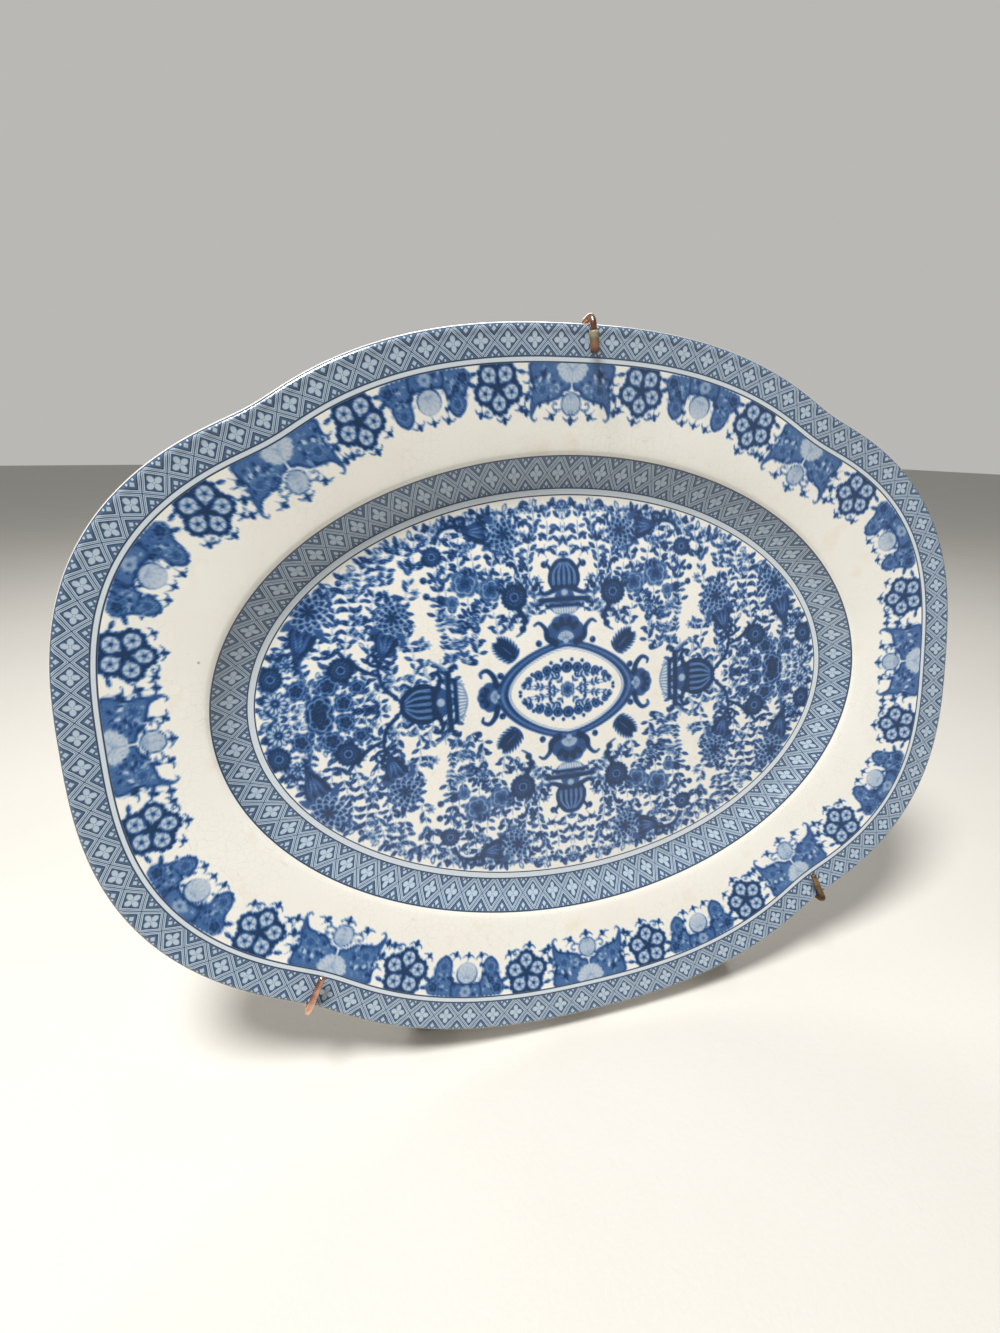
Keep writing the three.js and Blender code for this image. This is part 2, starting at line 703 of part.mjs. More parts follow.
function hingePin() {
  const head = HINGE.cheek + GAP;
  const shank = rod(onPin(-head - 0.4), onPin(head + 2), HINGE.pin, 14);
  return join(shank, chamferedRod(onPin(-head - 1.6), onPin(-head), 3.6, 0.4));
}

function hingeClip() {
  const near = HINGE.cheek + GAP;
  const ring = rod(onPin(near), onPin(near + 0.9), 3.7);
  return cut(ring, hole(onPin(near), onPin(near + 0.9), HINGE.pin + GAP));
}

// The strut lies in the plane X = 0 and goes down and back from the pin to the ground.
const pinPlace = fromPlate(onPin(0));
const strutDown = at(0, Math.sin(STRUT.open - LEAN), -Math.cos(STRUT.open - LEAN));
const onStrut = (distance) => pinPlace.clone().addScaledVector(strutDown, distance);
const strutGround = pinPlace.z / -strutDown.z;
const strutEnd = strutGround - 11;

// The square heel above the pin meets the clevis when the strut is fully open.
function strutEye() {
  const width = HINGE.slot - GAP;
  const heel = new THREE.BoxGeometry(2 * width, 8, 5.1);
  heel.translate(0, 0, 2.55);
  heel.rotateX(STRUT.open - LEAN);
  heel.translate(...pinPlace.toArray());
  const sideways = at(1, 0, 0);
  const eyeEnd = (side) => pinPlace.clone().addScaledVector(sideways, side * width);
  const shape = join(
    rod(eyeEnd(-1), eyeEnd(1), 5.4),
    solid(heel),
    rod(onStrut(0), onStrut(14), STRUT.radius),
    chamferedRod(onStrut(10), onStrut(26), 6, 0.8),
  );
  return cut(
    shape,
    hole(eyeEnd(-1), eyeEnd(1), HINGE.pin + GAP),
    socket(onStrut(14), onStrut(26), STRUT.radius + GAP),
  );
}

function strutTube() {
  const tube = rod(onStrut(14 + GAP), onStrut(strutEnd), STRUT.radius);
  return cut(tube, hole(onStrut(14), onStrut(strutEnd), STRUT.radius - 0.9));
}

function strutTip() {
  const cup = chamferedRod(onStrut(strutEnd - 14), onStrut(strutGround + 4), STRUT.tip, 0.8);
  const bore = socket(onStrut(strutEnd + GAP), onStrut(strutEnd - 14), STRUT.radius + GAP);
  return cut(cup, bore, block(at(-200, -400, -40), at(200, 400, 0)));
}

add("strut_clevis", leaning, castBrass(), clevis());
setScrew("clevis_set_screw", leaning, postScrewTip(HINGE.screwV), forward, 3);
add("hinge_pin", leaning, screwSteel(), hingePin());
add("hinge_clip", leaning, springSteel(), hingeClip());
add("strut_eye", upright, castBrass(), strutEye());
add("strut_tube", upright, brass(), strutTube());
add("strut_tip", upright, rubber(), strutTip());

// ---------------------------------------------------------------- the whole stand

// The origin is on the ground, under the middle of the whole object.
const stand = new THREE.Group();
stand.name = "plate_display_stand";
stand.add(leaning, upright);
const extent = new THREE.Box3().setFromObject(stand, true);
stand.position.y = -(extent.min.y + extent.max.y) / 2;

export default stand;
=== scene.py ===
"""Builds the scene of the plate display stand, holding its blue printed platter, on a plain pale floor."""
import json
from functools import partialmethod
from math import acos, atan2, cos, dist, hypot, pi, radians, sin, tan

import bpy
import numpy as np
from mathutils import Matrix, Vector


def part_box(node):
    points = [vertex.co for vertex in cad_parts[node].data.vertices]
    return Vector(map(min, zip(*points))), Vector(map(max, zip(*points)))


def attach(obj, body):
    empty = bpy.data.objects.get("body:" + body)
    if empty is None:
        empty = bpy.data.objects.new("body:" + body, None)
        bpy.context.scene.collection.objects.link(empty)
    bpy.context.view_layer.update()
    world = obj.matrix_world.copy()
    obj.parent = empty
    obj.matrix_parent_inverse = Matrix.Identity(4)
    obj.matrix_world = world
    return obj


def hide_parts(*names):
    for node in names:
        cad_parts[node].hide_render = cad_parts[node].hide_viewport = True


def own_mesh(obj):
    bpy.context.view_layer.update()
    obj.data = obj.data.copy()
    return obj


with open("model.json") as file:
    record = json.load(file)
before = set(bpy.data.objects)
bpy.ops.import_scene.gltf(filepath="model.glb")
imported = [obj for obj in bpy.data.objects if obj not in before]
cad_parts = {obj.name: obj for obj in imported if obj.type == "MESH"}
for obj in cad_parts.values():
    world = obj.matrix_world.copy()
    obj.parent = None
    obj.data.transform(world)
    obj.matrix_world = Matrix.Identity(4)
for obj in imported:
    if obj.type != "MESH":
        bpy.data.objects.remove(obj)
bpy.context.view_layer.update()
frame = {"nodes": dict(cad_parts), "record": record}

MM = 0.001

# ---- the platter's own frame

# u runs right, v up the platter and w out of its face, in mm from the platter's centre.
LEAN = radians(12)
PLATE_HEIGHT = 0.183
BAR_BEHIND = 0.010
foot_low, foot_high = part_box("rubber_foot_left")
CENTRE = np.array([0, (foot_low[1] + foot_high[1]) / 2 + BAR_BEHIND, PLATE_HEIGHT])
U_AXIS = np.array([1, 0, 0])
V_AXIS = np.array([0, sin(LEAN), cos(LEAN)])
W_AXIS = np.array([0, -cos(LEAN), sin(LEAN)])


def on_plate(points):
    """World places, in metres, of (u, v, w) points in mm."""
    points = np.asarray(points, float) * MM
    return CENTRE + points @ np.array([U_AXIS, V_AXIS, W_AXIS])


def add_object(name, data):
    obj = bpy.data.objects.new(name, data)
    bpy.context.collection.objects.link(obj)
    return obj


def piece(name, points, faces, body, node, slot, material):
    """A smooth mesh that stands for a CAD node and rides on its body."""
    mesh = bpy.data.meshes.new(name)
    mesh.from_pydata(np.asarray(points).tolist(), [], faces)
    mesh.shade_smooth()
    mesh.materials.append(material)
    obj = add_object(name, mesh)
    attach(obj, body)
    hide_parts(node)
    return obj


# ---- shading helpers


class Shade:
    """A material with a Principled surface, and short ways to add and join nodes."""

    def __init__(self, name, **surface):
        self.material = bpy.data.materials.new(name)
        self.material.use_nodes = True
        self.tree = self.material.node_tree
        self.surface = self.tree.nodes["Principled BSDF"]
        for socket, value in surface.items():
            self.set(socket.replace("_", " "), value)

    def set(self, socket, value):
        self.join(self.surface.inputs[socket], value)

    def join(self, socket, value):
        if isinstance(value, Number):
            value = value.socket
        if isinstance(value, bpy.types.NodeSocket):
            self.tree.links.new(value, socket)
        elif isinstance(value, str):
            socket.default_value = colour(value)
        else:
            socket.default_value = value

    def node(self, kind, inputs, **settings):
        node = self.tree.nodes.new("ShaderNode" + kind)
        for name, value in settings.items():
            setattr(node, name, value)
        for name, value in inputs.items():
            self.join(node.inputs[name], value)
        return node

    def place(self):
        """Where a point is on its object, in metres."""
        return self.node("TexCoord", {}).outputs["Object"]

    def noise(self, scale, detail=3.0, stretch=None):
        """Soft noise about 0.5, with scale in waves per metre, and stretched along the axes."""
        where = self.place()
        if stretch:
            mapping = self.node("Mapping", {"Vector": where, "Scale": stretch})
            where = mapping.outputs["Vector"]
        inputs = {"Vector": where, "Scale": scale, "Detail": detail}
        return Number(self, self.node("TexNoise", inputs).outputs["Fac"])

    def cells(self, scale, feature, output):
        inputs = {"Vector": self.place(), "Scale": scale}
        return self.node("TexVoronoi", inputs, feature=feature).outputs[output]

    def attribute(self, name):
        return self.node("Attribute", {}, attribute_name=name)

    def mix(self, share, first, second):
        """Colour first turning into second as share goes from 0 to 1."""
        inputs = {0: share, 6: first, 7: second}
        return self.node("Mix", inputs, data_type="RGBA").outputs[2]

    def ramp(self, value, *stops):
        """A colour for each value, from (place, colour) stops."""
        node = self.node("ValToRGB", {"Fac": value})
        elements = node.color_ramp.elements
        for _ in stops[2:]:
            elements.new(0.5)
        for element, (position, shade) in zip(elements, stops):
            element.position = position
            element.color = colour(shade)
        return node.outputs["Color"]

    def bump(self, height, depth):
        """Relief up to depth metres high, where height goes from 0 to 1."""
        inputs = {"Height": height, "Strength": 1.0, "Distance": depth}
        self.set("Normal", self.node("Bump", inputs).outputs["Normal"])

    def finish(self, base, roughness, height, depth):
        """Sets the colour, the roughness and the relief, and hands over the material."""
        self.set("Base Color", base)
        self.set("Roughness", roughness)
        self.bump(height, depth)
        return self.material


class Number:
    """A number worked out by nodes, so that formulas read as arithmetic."""

    def __init__(self, shade, socket):
        self.shade = shade
        self.socket = socket

    def by(self, operation, *others):
        inputs = {0: self}
        for i, other in enumerate(others):
            inputs[i + 1] = other
        node = self.shade.node("Math", inputs, operation=operation)
        return Number(self.shade, node.outputs[0])

    __add__ = partialmethod(by, "ADD")
    __sub__ = partialmethod(by, "SUBTRACT")
    __mul__ = partialmethod(by, "MULTIPLY")
    smaller = partialmethod(by, "MINIMUM")
    larger = partialmethod(by, "MAXIMUM")
    size = partialmethod(by, "ABSOLUTE")

    def below(self, edge, soft):
        """1 where this is well below edge, 0 well above it, soft wide in between."""
        node = self.shade.node("MapRange", {"Value": self, 1: edge - soft / 2, 2: edge + soft / 2})
        node.inputs[3].default_value = 1
        node.inputs[4].default_value = 0
        return Number(self.shade, node.outputs[0])

    def near(self, middle, half, soft):
        """1 within half of middle."""
        return (self - middle).size().below(half, soft)

    def opposite(self):
        """1 less this, for a share from 0 to 1."""
        return self.by("SUBTRACT", 1).size()


def colour(code):
    """Linear RGBA from a hex code as seen on a screen."""
    shares = [int(code[i:i + 2], 16) / 255 for i in (1, 3, 5)]
    linear = [c / 12.92 if c <= 0.04045 else ((c + 0.055) / 1.055) ** 2.4 for c in shares]
    return (*linear, 1.0)


# ---- ink drawing

# Mm between dots, radians for up the drawing, and steps to each stretch of a curve.
DOT = 0.28
UP = 1.57
PATH_STEPS = 8

# Ink tones.
PALE = 0.28
SOFT = 0.48
MID = 0.72
DEEP = 0.88
DARK = 1.0


class Canvas:
    """Ink tones from 0, bare, to 1, darkest, in dots over a rectangle that starts at 0, 0, in mm."""

    def __init__(self, width, height):
        self.tone = np.zeros((int(height / DOT) + 2, int(width / DOT) + 2))

    def ink(self, x, y, reach, distance, tone):
        """Lays tone where distance(dx, dy) is negative, within reach of (x, y)."""
        rows, columns = self.tone.shape
        left = max(0, int((x - reach) / DOT))
        right = min(columns, int((x + reach) / DOT) + 2)
        low = max(0, int((y - reach) / DOT))
        high = min(rows, int((y + reach) / DOT) + 2)
        if left >= right or low >= high:
            return
        dx, dy = np.meshgrid(np.arange(left, right) * DOT - x, np.arange(low, high) * DOT - y)
        cover = np.clip(0.5 - distance(dx, dy) / DOT, 0, 1)
        patch = self.tone[low:high, left:right]
        patch += (tone - patch) * cover

    def disc(self, x, y, radius, tone):
        self.ink(x, y, radius + 1, lambda dx, dy: np.hypot(dx, dy) - radius, tone)

    def ring(self, x, y, radius, line, tone):
        self.ink(x, y, radius + 1, lambda dx, dy: abs(np.hypot(dx, dy) - radius) - line / 2, tone)

    def petal(self, x, y, angle, length, width, tone, blunt=1.0):
        """A leaf shape that starts at x, y and points along angle. Blunt below 1 rounds its tip."""
        c, s = cos(angle), sin(angle)

        def distance(dx, dy):
            along = (dx * c + dy * s) / length
            swell = np.sin(np.pi * np.clip(along, 0, 1) ** (1 / blunt)) ** 0.8
            return abs(dy * c - dx * s) - width / 2 * swell + 9 * ((along < 0) | (along > 1))

        self.ink(x, y, length + 1, distance, tone)

    def stroke(self, points, start, end, tone):
        """A line through the points, from start to end mm wide."""
        path = smooth_path(points)
        for i, (x, y) in enumerate(path):
            width = start + (end - start) * i / len(path)
            self.disc(x, y, width / 2, tone)

    def shape(self, points, tone):
        """A filled outline, smoothed through its points."""
        path = np.array(smooth_path([*points, points[0], points[1]])[:-PATH_STEPS])
        middle = path.mean(axis=0)
        reach = np.hypot(*(path - middle).T).max()

        def distance(dx, dy):
            x = dx + middle[0]
            y = dy + middle[1]
            inside = np.zeros(x.shape, bool)
            for (x0, y0), (x1, y1) in zip(path, np.roll(path, -1, axis=0)):
                if y0 != y1:
                    crosses = (y0 > y) != (y1 > y)
                    inside ^= crosses & (x < (x1 - x0) * (y - y0) / (y1 - y0) + x0)
            return np.where(inside, -1, 1)

        self.ink(*middle, reach, distance, tone)

    def bleed(self):
        """Lets the ink run a little into the glaze, as in flow blue ware."""
        near = blurred(self.tone, 1)
        self.tone = np.minimum(near * 0.92 + blurred(near, 30) * 0.27, 1)

    def at(self, x, y):
        """Tones at places in mm, blended between dots."""
        rows, columns = self.tone.shape
        column = np.clip(np.asarray(x) / DOT, 0, columns - 1.001)
        row = np.clip(np.asarray(y) / DOT, 0, rows - 1.001)
        i, j = row.astype(int), column.astype(int)
        fi, fj = row - i, column - j
        low = self.tone[i, j] * (1 - fj) + self.tone[i, j + 1] * fj
        high = self.tone[i + 1, j] * (1 - fj) + self.tone[i + 1, j + 1] * fj
        return low * (1 - fi) + high * fi


def blurred(tone, passes):
    for _ in range(passes):
        for axis in (0, 1):
            padded = np.pad(tone, 1, mode="edge")
            tone = (np.roll(padded, 1, axis) + 2 * padded + np.roll(padded, -1, axis))[1:-1, 1:-1] / 4
    return tone


def smooth_path(points):
    """Points along a curve through the given ones, PATH_STEPS to each stretch."""
    points = [Vector((*p, 0)) for p in points]
    padded = [points[0], *points, points[-1]]
    path = []
    for a, b, c, d in zip(padded, padded[1:], padded[2:], padded[3:]):
        for step in range(PATH_STEPS):
            t = step / PATH_STEPS
            bend = (2 * a - 5 * b + 4 * c - d) * t * t + (3 * b - a - 3 * c + d) * t ** 3
            spot = b + ((c - a) * t + bend) / 2
            path.append((spot.x, spot.y))
    return path


def polar(x, y, angle, radius):
    return x + radius * cos(angle), y + radius * sin(angle)


def each(draw, art, places, *rest):
    """Draws a motif at each place. A place may also hold its angle, its size and so on."""
    for place in places:
        draw(art, *place, *rest)


def all_round(count, start=0.0):
    """Angles that share a full turn."""
    return [2 * pi * (i + start) / count for i in range(count)]


# ---- flowers and leaves


def curl(art, x, y, angle, size, hand, tone=MID, line=0.55):
    """A scroll that leaves x, y along angle and winds in to its eye."""
    points = []
    for i in range(15):
        turn = i / 14
        reach = size * (1 - 0.78 * turn)
        points.append(polar(0, 0, angle + hand * (turn * 4.6 - pi / 2), reach))
    shift = (x - points[0][0], y - points[0][1])
    art.stroke([(px + shift[0], py + shift[1]) for px, py in points], line * 1.3, line, tone)
    art.disc(points[-1][0] + shift[0], points[-1][1] + shift[1], line * 0.9, tone)


def leaf(art, x, y, angle, length, tone=DARK, vein=True):
    """A pointed leaf with one pale vein."""
    art.petal(x, y, angle, length, length * 0.42, tone)
    if vein:
        root = polar(x, y, angle, length * 0.3)
        art.petal(*root, angle, length * 0.5, length * 0.11, SOFT)


def outlined_leaf(art, x, y, angle, length):
    art.petal(x, y, angle, length, length * 0.5, DEEP)
    root = polar(x, y, angle, length * 0.12)
    art.petal(*root, angle, length * 0.72, length * 0.3, 0.12)


def blossom(art, x, y, radius, rays):
    """A round flower of narrow rays about a ringed centre."""
    for angle in all_round(rays):
        art.petal(*polar(x, y, angle, radius * 0.25), angle, radius * 0.8, radius * 0.4, DEEP, 0.7)
    art.disc(x, y, radius * 0.62, DEEP)
    for angle in all_round(rays, 0.5):
        art.petal(*polar(x, y, angle, radius * 0.42), angle, radius * 0.32, 0.4, SOFT)
    art.ring(x, y, radius * 0.3, 0.5, PALE)
    art.disc(x, y, radius * 0.14, DARK)


def floret(art, x, y, radius, petals=8):
    """A pale flower drawn in outline."""
    for angle in all_round(petals):
        outlined_leaf(art, *polar(x, y, angle, radius * 0.22), angle, radius * 0.8)
    art.disc(x, y, radius * 0.3, DEEP)
    art.disc(x, y, radius * 0.1, PALE)


def rose(art, x, y, radius, tone=MID):
    """A full rose of overlapping petals with pale edges."""
    for ring, count in ((0.68, 7), (0.4, 5)):
        for angle in all_round(count, ring):
            art.disc(*polar(x, y, angle, radius * ring), radius * 0.38, SOFT if ring > 0.5 else PALE)
            art.disc(*polar(x, y, angle, radius * (ring - 0.06)), radius * 0.33, tone)
    art.disc(x, y, radius * 0.26, DARK)
    art.ring(x, y, radius * 0.16, 0.35, SOFT)


def berry(art, x, y, radius):
    art.disc(x, y, radius, DARK)
    art.disc(x - radius * 0.3, y + radius * 0.3, radius * 0.3, SOFT)


def sprig(art, x, y, angle, length, pairs, tone=DARK):
    """A curved stem with leaves in pairs and one at its tip."""
    for i in range(pairs):
        spot = polar(x, y, angle, length * (i + 0.35) / (pairs + 0.6))
        for side in (-1, 1):
            leaf(art, *spot, angle + side * 0.85, length / pairs * 0.95, tone, i % 2 == 0)
    art.stroke([(x, y), polar(x, y, angle, length * 0.8)], 0.5, 0.4, tone)
    leaf(art, *polar(x, y, angle, length * 0.68), angle, length * 0.36, tone)


def bud(art, x, y, angle, size):
    """A bud between two leaves that curl back."""
    art.petal(x, y, angle, size * 1.15, size * 0.66, DARK, 0.75)
    for side in (-1, 1):
        middle = polar(x, y, angle + side * 0.95, size * 0.75)
        tip = polar(x, y, angle + side * 1.5, size * 1.15)
        end = polar(*tip, angle + side * 2.6, size * 0.3)
        art.stroke([(x, y), middle, tip, end], size * 0.3, 0.3, DEEP)
    art.stroke([(x, y), polar(x, y, angle + pi - 0.3, size * 1.2)], 0.5, 0.3, DEEP)


def trumpet(art, foot, mouth, width):
    """A striped flower cup that widens from its foot to its mouth."""
    angle = atan2(mouth[1] - foot[1], mouth[0] - foot[0])
    length = dist(foot, mouth)
    for i in range(7):
        lean = (i - 3) / 3
        tip = polar(*mouth, angle + pi / 2, lean * width / 2)
        aim = atan2(tip[1] - foot[1], tip[0] - foot[0])
        art.petal(*foot, aim, dist(foot, tip), width * 0.3, MID if i % 2 else DEEP, 0.6)
    for lean in (-0.28, 0, 0.28):
        root = polar(*foot, angle + lean * 0.6, length * 0.35)
        art.petal(*root, angle + lean, length * 0.5, 0.55, PALE)


def peony(art, x, y, size):
    """A full flower head whose petals, each with a pale edge, overlap from the outside in."""
    for reach, count, tone in ((1.0, 12, DEEP), (0.74, 10, DARK), (0.48, 7, DEEP)):
        for lean in all_round(count, reach):
            root = polar(x, y, lean, size * (reach - 0.45))
            art.petal(*root, lean, size * 0.64, size * 0.44, PALE, 0.75)
            art.petal(*root, lean, size * 0.56, size * 0.28, tone, 0.75)
    art.disc(x, y, size * 0.17, DARK)


def big_blossom(art, x, y, angle, size):
    """A dark flower head on its trumpet, which comes from behind along angle and curls at its foot."""
    foot = polar(x, y, angle, size * 3.1)
    curl(art, *foot, angle + 0.4, size * 0.6, 1, DEEP, 1.2)
    trumpet(art, foot, polar(x, y, angle, size * 1.1), size * 1.5)
    for side in (-1, 1):
        tip = angle + side * 0.7
        art.petal(*polar(x, y, tip, size * 0.6), tip, size * 1.3, size * 0.5, MID)
    peony(art, x, y, size)


def fan(art, x, y, angle, radius, spread=2.7):
    """A pale ribbed shell that opens along angle."""
    ribs = [angle + (i / 8 - 0.5) * spread for i in range(9)]
    art.disc(x, y, radius * 0.34, PALE)
    for lean in ribs:
        art.petal(x, y, lean, radius, radius * 0.46, 0.2, 0.55)
    for lean in ribs:
        art.stroke([polar(x, y, lean, radius * 0.2), polar(x, y, lean, radius * 0.86)], 0.4, 0.4, 0.58)


def wreath(art, x, y, radius, rng):
    """A ring of dark scalloped lobes, each about a small pale flower."""
    lobes = [polar(x, y, 2 * pi * i / 5 + 0.3, radius * 0.6) for i in range(5)]
    for i, spot in enumerate(lobes):
        angle = 2 * pi * i / 5 + 0.3
        art.disc(*spot, radius * 0.42, DEEP)
        for k in range(5):
            art.disc(*polar(*spot, angle + (k - 2) * 0.65, radius * 0.38), radius * 0.12, DARK)
    for spot in lobes:
        art.disc(*spot, radius * 0.29, 0.14)
        turn = rng.uniform(0, 1.5)
        for k in range(5):
            art.petal(*spot, turn + k * 1.26, radius * 0.27, radius * 0.1, SOFT)
        art.disc(*spot, radius * 0.07, DARK)
    art.disc(x, y, radius * 0.3, 0.2)
    for k in range(5):
        art.petal(x, y, k * 1.26 - 0.3, radius * 0.42, radius * 0.2, DARK)


def spangle(art, x, y, width, height, count, rng):
    """Small pale petals scattered over a dark mass."""
    for _ in range(count):
        spot = (x + rng.uniform(-0.5, 0.5) * width, y + rng.uniform(-0.5, 0.5) * height)
        art.petal(*spot, rng.uniform(0, 6.3), rng.uniform(1.0, 2.0), 0.8, rng.choice([PALE, SOFT]))


def dark_mass(art, points, rng, count):
    """A mid blue ground, mottled and darker at its edge."""
    art.shape(points, 0.6)
    art.stroke([*points, points[0]], 1.1, 1.1, DEEP)
    spots = np.array(points)
    middle = spots.mean(axis=0)
    spread = spots.std(axis=0)
    for _ in range(count):
        x, y = middle + spread * rng.uniform(-1.0, 1.0, 2)
        turn, length = rng.uniform(0, 6.3), rng.uniform(1.6, 3.4)
        art.petal(x, y, turn, length, 1.2, rng.choice([DARK, DEEP, MID, PALE]))


# ---- the border's drawing

FLORAL_START = 17
FLORAL_DEPTH = 30


def beside(s, side, points):
    """Points, given by how far they lie from s, on one side of it."""
    return [(s + side * x, y) for x, y in points]


def winged_shell(art, s, rng):
    """The large motif: two pointed wings about a fan shell, with buds on top."""
    for side in (-1, 1):
        wing = [(1, 0), (19, 0), (20.6, 4), (19, 9), (20, 15), (20.4, 22), (17.5, 17.6), (13, 16.2),
                (8, 15), (4, 11.5), (1, 10)]
        dark_mass(art, beside(s, side, wing), rng, 44)
        spangle(art, s + side * 12.5, 7.5, 10, 11, 14, rng)
        rose(art, s + side * 14.5, 11.5, 3.4, MID)
        each(Canvas.petal, art, beside(s, side, [(11, 4.4), (15, 5.6)]), UP - side * 0.5, 3, 1.7, 0.12)
        art.stroke(beside(s, side, [(19.6, 17), (20.6, 22), (19, 24.6), (17.4, 23.4)]), 1.8, 0.5, MID)
        bud(art, s + side * 10.5, 21.8, UP + side * 0.5, 2.9)
        curl(art, s + side * 5.4, 19.5, UP - side * 0.6, 2.8, -side, MID)
        curl(art, s + side * 22.5, 13, UP + side * 0.3, 2.2, side, MID)
    art.ring(s, 17.4, 4.9, 0.6, DEEP)
    art.disc(s, 17.4, 4.6, 0.24)
    for i in range(5):
        art.stroke([(s + (i - 2) * 0.9, 13.8), (s + (i - 2) * 1.7, 21)], 0.4, 0.4, 0.58)
    bud(art, s, 23.4, UP, 3.0)
    fan(art, s, 0.6, pi / 2, 8.2)


def garland(art, s, rng):
    """The smaller motif: a dark leafy swag with shells and a pale oval."""
    for side in (-1, 1):
        lobe = [(2, 0), (17, 1), (20, 5), (17.5, 10), (16.5, 16), (12.5, 19.5), (9, 16), (8, 8), (3, 5)]
        dark_mass(art, beside(s, side, lobe), rng, 36)
        spangle(art, s + side * 13, 9, 7, 12, 11, rng)
        rose(art, s + side * 16.8, 4.2, 3.8, DEEP)
        rose(art, s + side * 12.8, 14.6, 3.4, MID)
        leaf(art, s + side * 19, 7, UP - side * 1.1, 4.5)
        bud(art, s + side * 7.5, 19.6, UP + side * 0.3, 2.6)
    dark_mass(art, [(s - 7, 0), (s + 7, 0), (s + 7, 6.5), (s, 5.5), (s - 7, 6.5)], rng, 10)
    art.disc(s, 11.4, 5.7, DEEP)
    art.disc(s, 11.8, 5.2, 0.22)
    for i in range(7):
        lean = pi / 2 + (i - 3) * 0.42
        art.stroke([polar(s, 8.6, lean, 1), polar(s, 8.6, lean, 6.4)], 0.4, 0.4, 0.58)
    rose(art, s, 2.6, 3.0, PALE + 0.1)
    bud(art, s, 19.5, UP, 2.4)


def border_section(length, seed):
    """One eighth of the border's flowers, from one winged shell's middle to the next."""
    rng = np.random.default_rng(seed)
    art = Canvas(length, FLORAL_DEPTH)
    gap = length * 0.262
    for s in (gap, length - gap):
        wreath(art, s, 9.8, 11.2, rng)
        bud(art, s + 2, 22.6, 1.4, 2.9)
        curl(art, s - 4, 21.6, 2.2, 2.4, 1, MID)
        each(bud, art, ((s - 9, 19.6, 2.0, 2.7), (s + 10.5, 18.2, 1.0, 2.4)))
        for side in (-1, 1):
            leaf(art, s + side * 9.5, 3.2, UP - side * 1.3, 4.2)
    for s, lean in ((gap * 0.56, 1), (length - gap * 0.56, -1)):
        for over, y, aim, size in ((0, 6.2, 0.5, 3.2), (1.2, 12.6, -0.4, 3.4), (2.6, 19.4, 0, 3.0)):
            bud(art, s + lean * over, y, UP + lean * aim, size)
        curl(art, s - lean * 1.5, 2.2, UP + lean * 0.4, 2.6, lean, MID)
    each(bud, art, [(s, 17.5, UP, 2.4) for s in (gap * 1.55, length - gap * 1.55)])
    garland(art, length / 2, rng)
    for s in (0, length):
        winged_shell(art, s, rng)
    art.bleed()
    return art


# ---- the floor's drawing


def urn(art, x, y, angle, scale):
    """A footed vase that points along angle, with a lip and two curled handles."""
    c, s = cos(angle), sin(angle)

    def turned(points):
        return [(x + scale * (px * c - py * s), y + scale * (px * s + py * c)) for px, py in points]

    half = [(-10, 2), (-8.5, 6), (-3, 10), (4, 11.5), (9, 9.5), (12, 6.5)]
    art.shape(turned([*half, *[(px, -py) for px, py in half[::-1]]]), DEEP)
    for lean in (-6.8, -3.4, 0, 3.4, 6.8):
        rib = [(-7, lean * 0.4), (-1, lean * 1.05), (7, lean * 1.1)]
        art.stroke(turned(rib), 0.8, 1.7, PALE)
        art.stroke(turned(rib), 0.3, 0.9, MID)
    art.shape(turned([(11, 5), (16, 6.4), (16, -6.4), (11, -5)]), MID)
    art.disc(*turned([(12.5, 0)])[0], 2.4 * scale, PALE)
    for side in (-1, 1):
        for points, start, end, tone in (
                ([(17.2, 0), (17.2, 13), (18.4, 18), (21.6, 20), (22.6, 18)], 3.4, 1.2, DEEP),
                ([(21, 0), (21, 11)], 2.6, 2.2, DEEP),
                ([(19.1, 0), (19.1, 10.5)], 0.6, 0.6, PALE),
                ([(11, 8), (13, 14), (10, 17), (8, 15)], 2.8, 0.9, DEEP),
                ([(-3, 9), (-7, 12), (-9.5, 10.5)], 2.0, 0.7, DEEP)):
            art.stroke(turned([(px, side * py) for px, py in points]), start, end, tone)
    art.shape(turned([(22.2, 0), (22.4, 10), (26, 7.5), (28, 0), (26, -7.5), (22.4, -10)]), SOFT)
    for i in range(9):
        lean = (i - 4) * 2
        rib = turned([(23, lean), (27.2 - abs(i - 4) * 0.5, lean * 0.85)])
        art.stroke(rib, 1.0, 0.7, 0.08)


def feather(art, x, y, angle, length):
    """A broad leaf with a spiky edge."""
    for i in range(9):
        share = i / 8
        spot = polar(x, y, angle, length * share * 0.72)
        reach = length * (0.28 + 0.3 * sin(pi * (0.15 + 0.75 * share)))
        for side in (-1, 1):
            art.petal(*spot, angle + side * (1.15 - share * 0.75), reach, 1.5, DEEP)
    art.petal(x, y, angle, length * 0.95, length * 0.42, DEEP)
    art.petal(*polar(x, y, angle, 2), angle, length * 0.6, 0.5, SOFT)


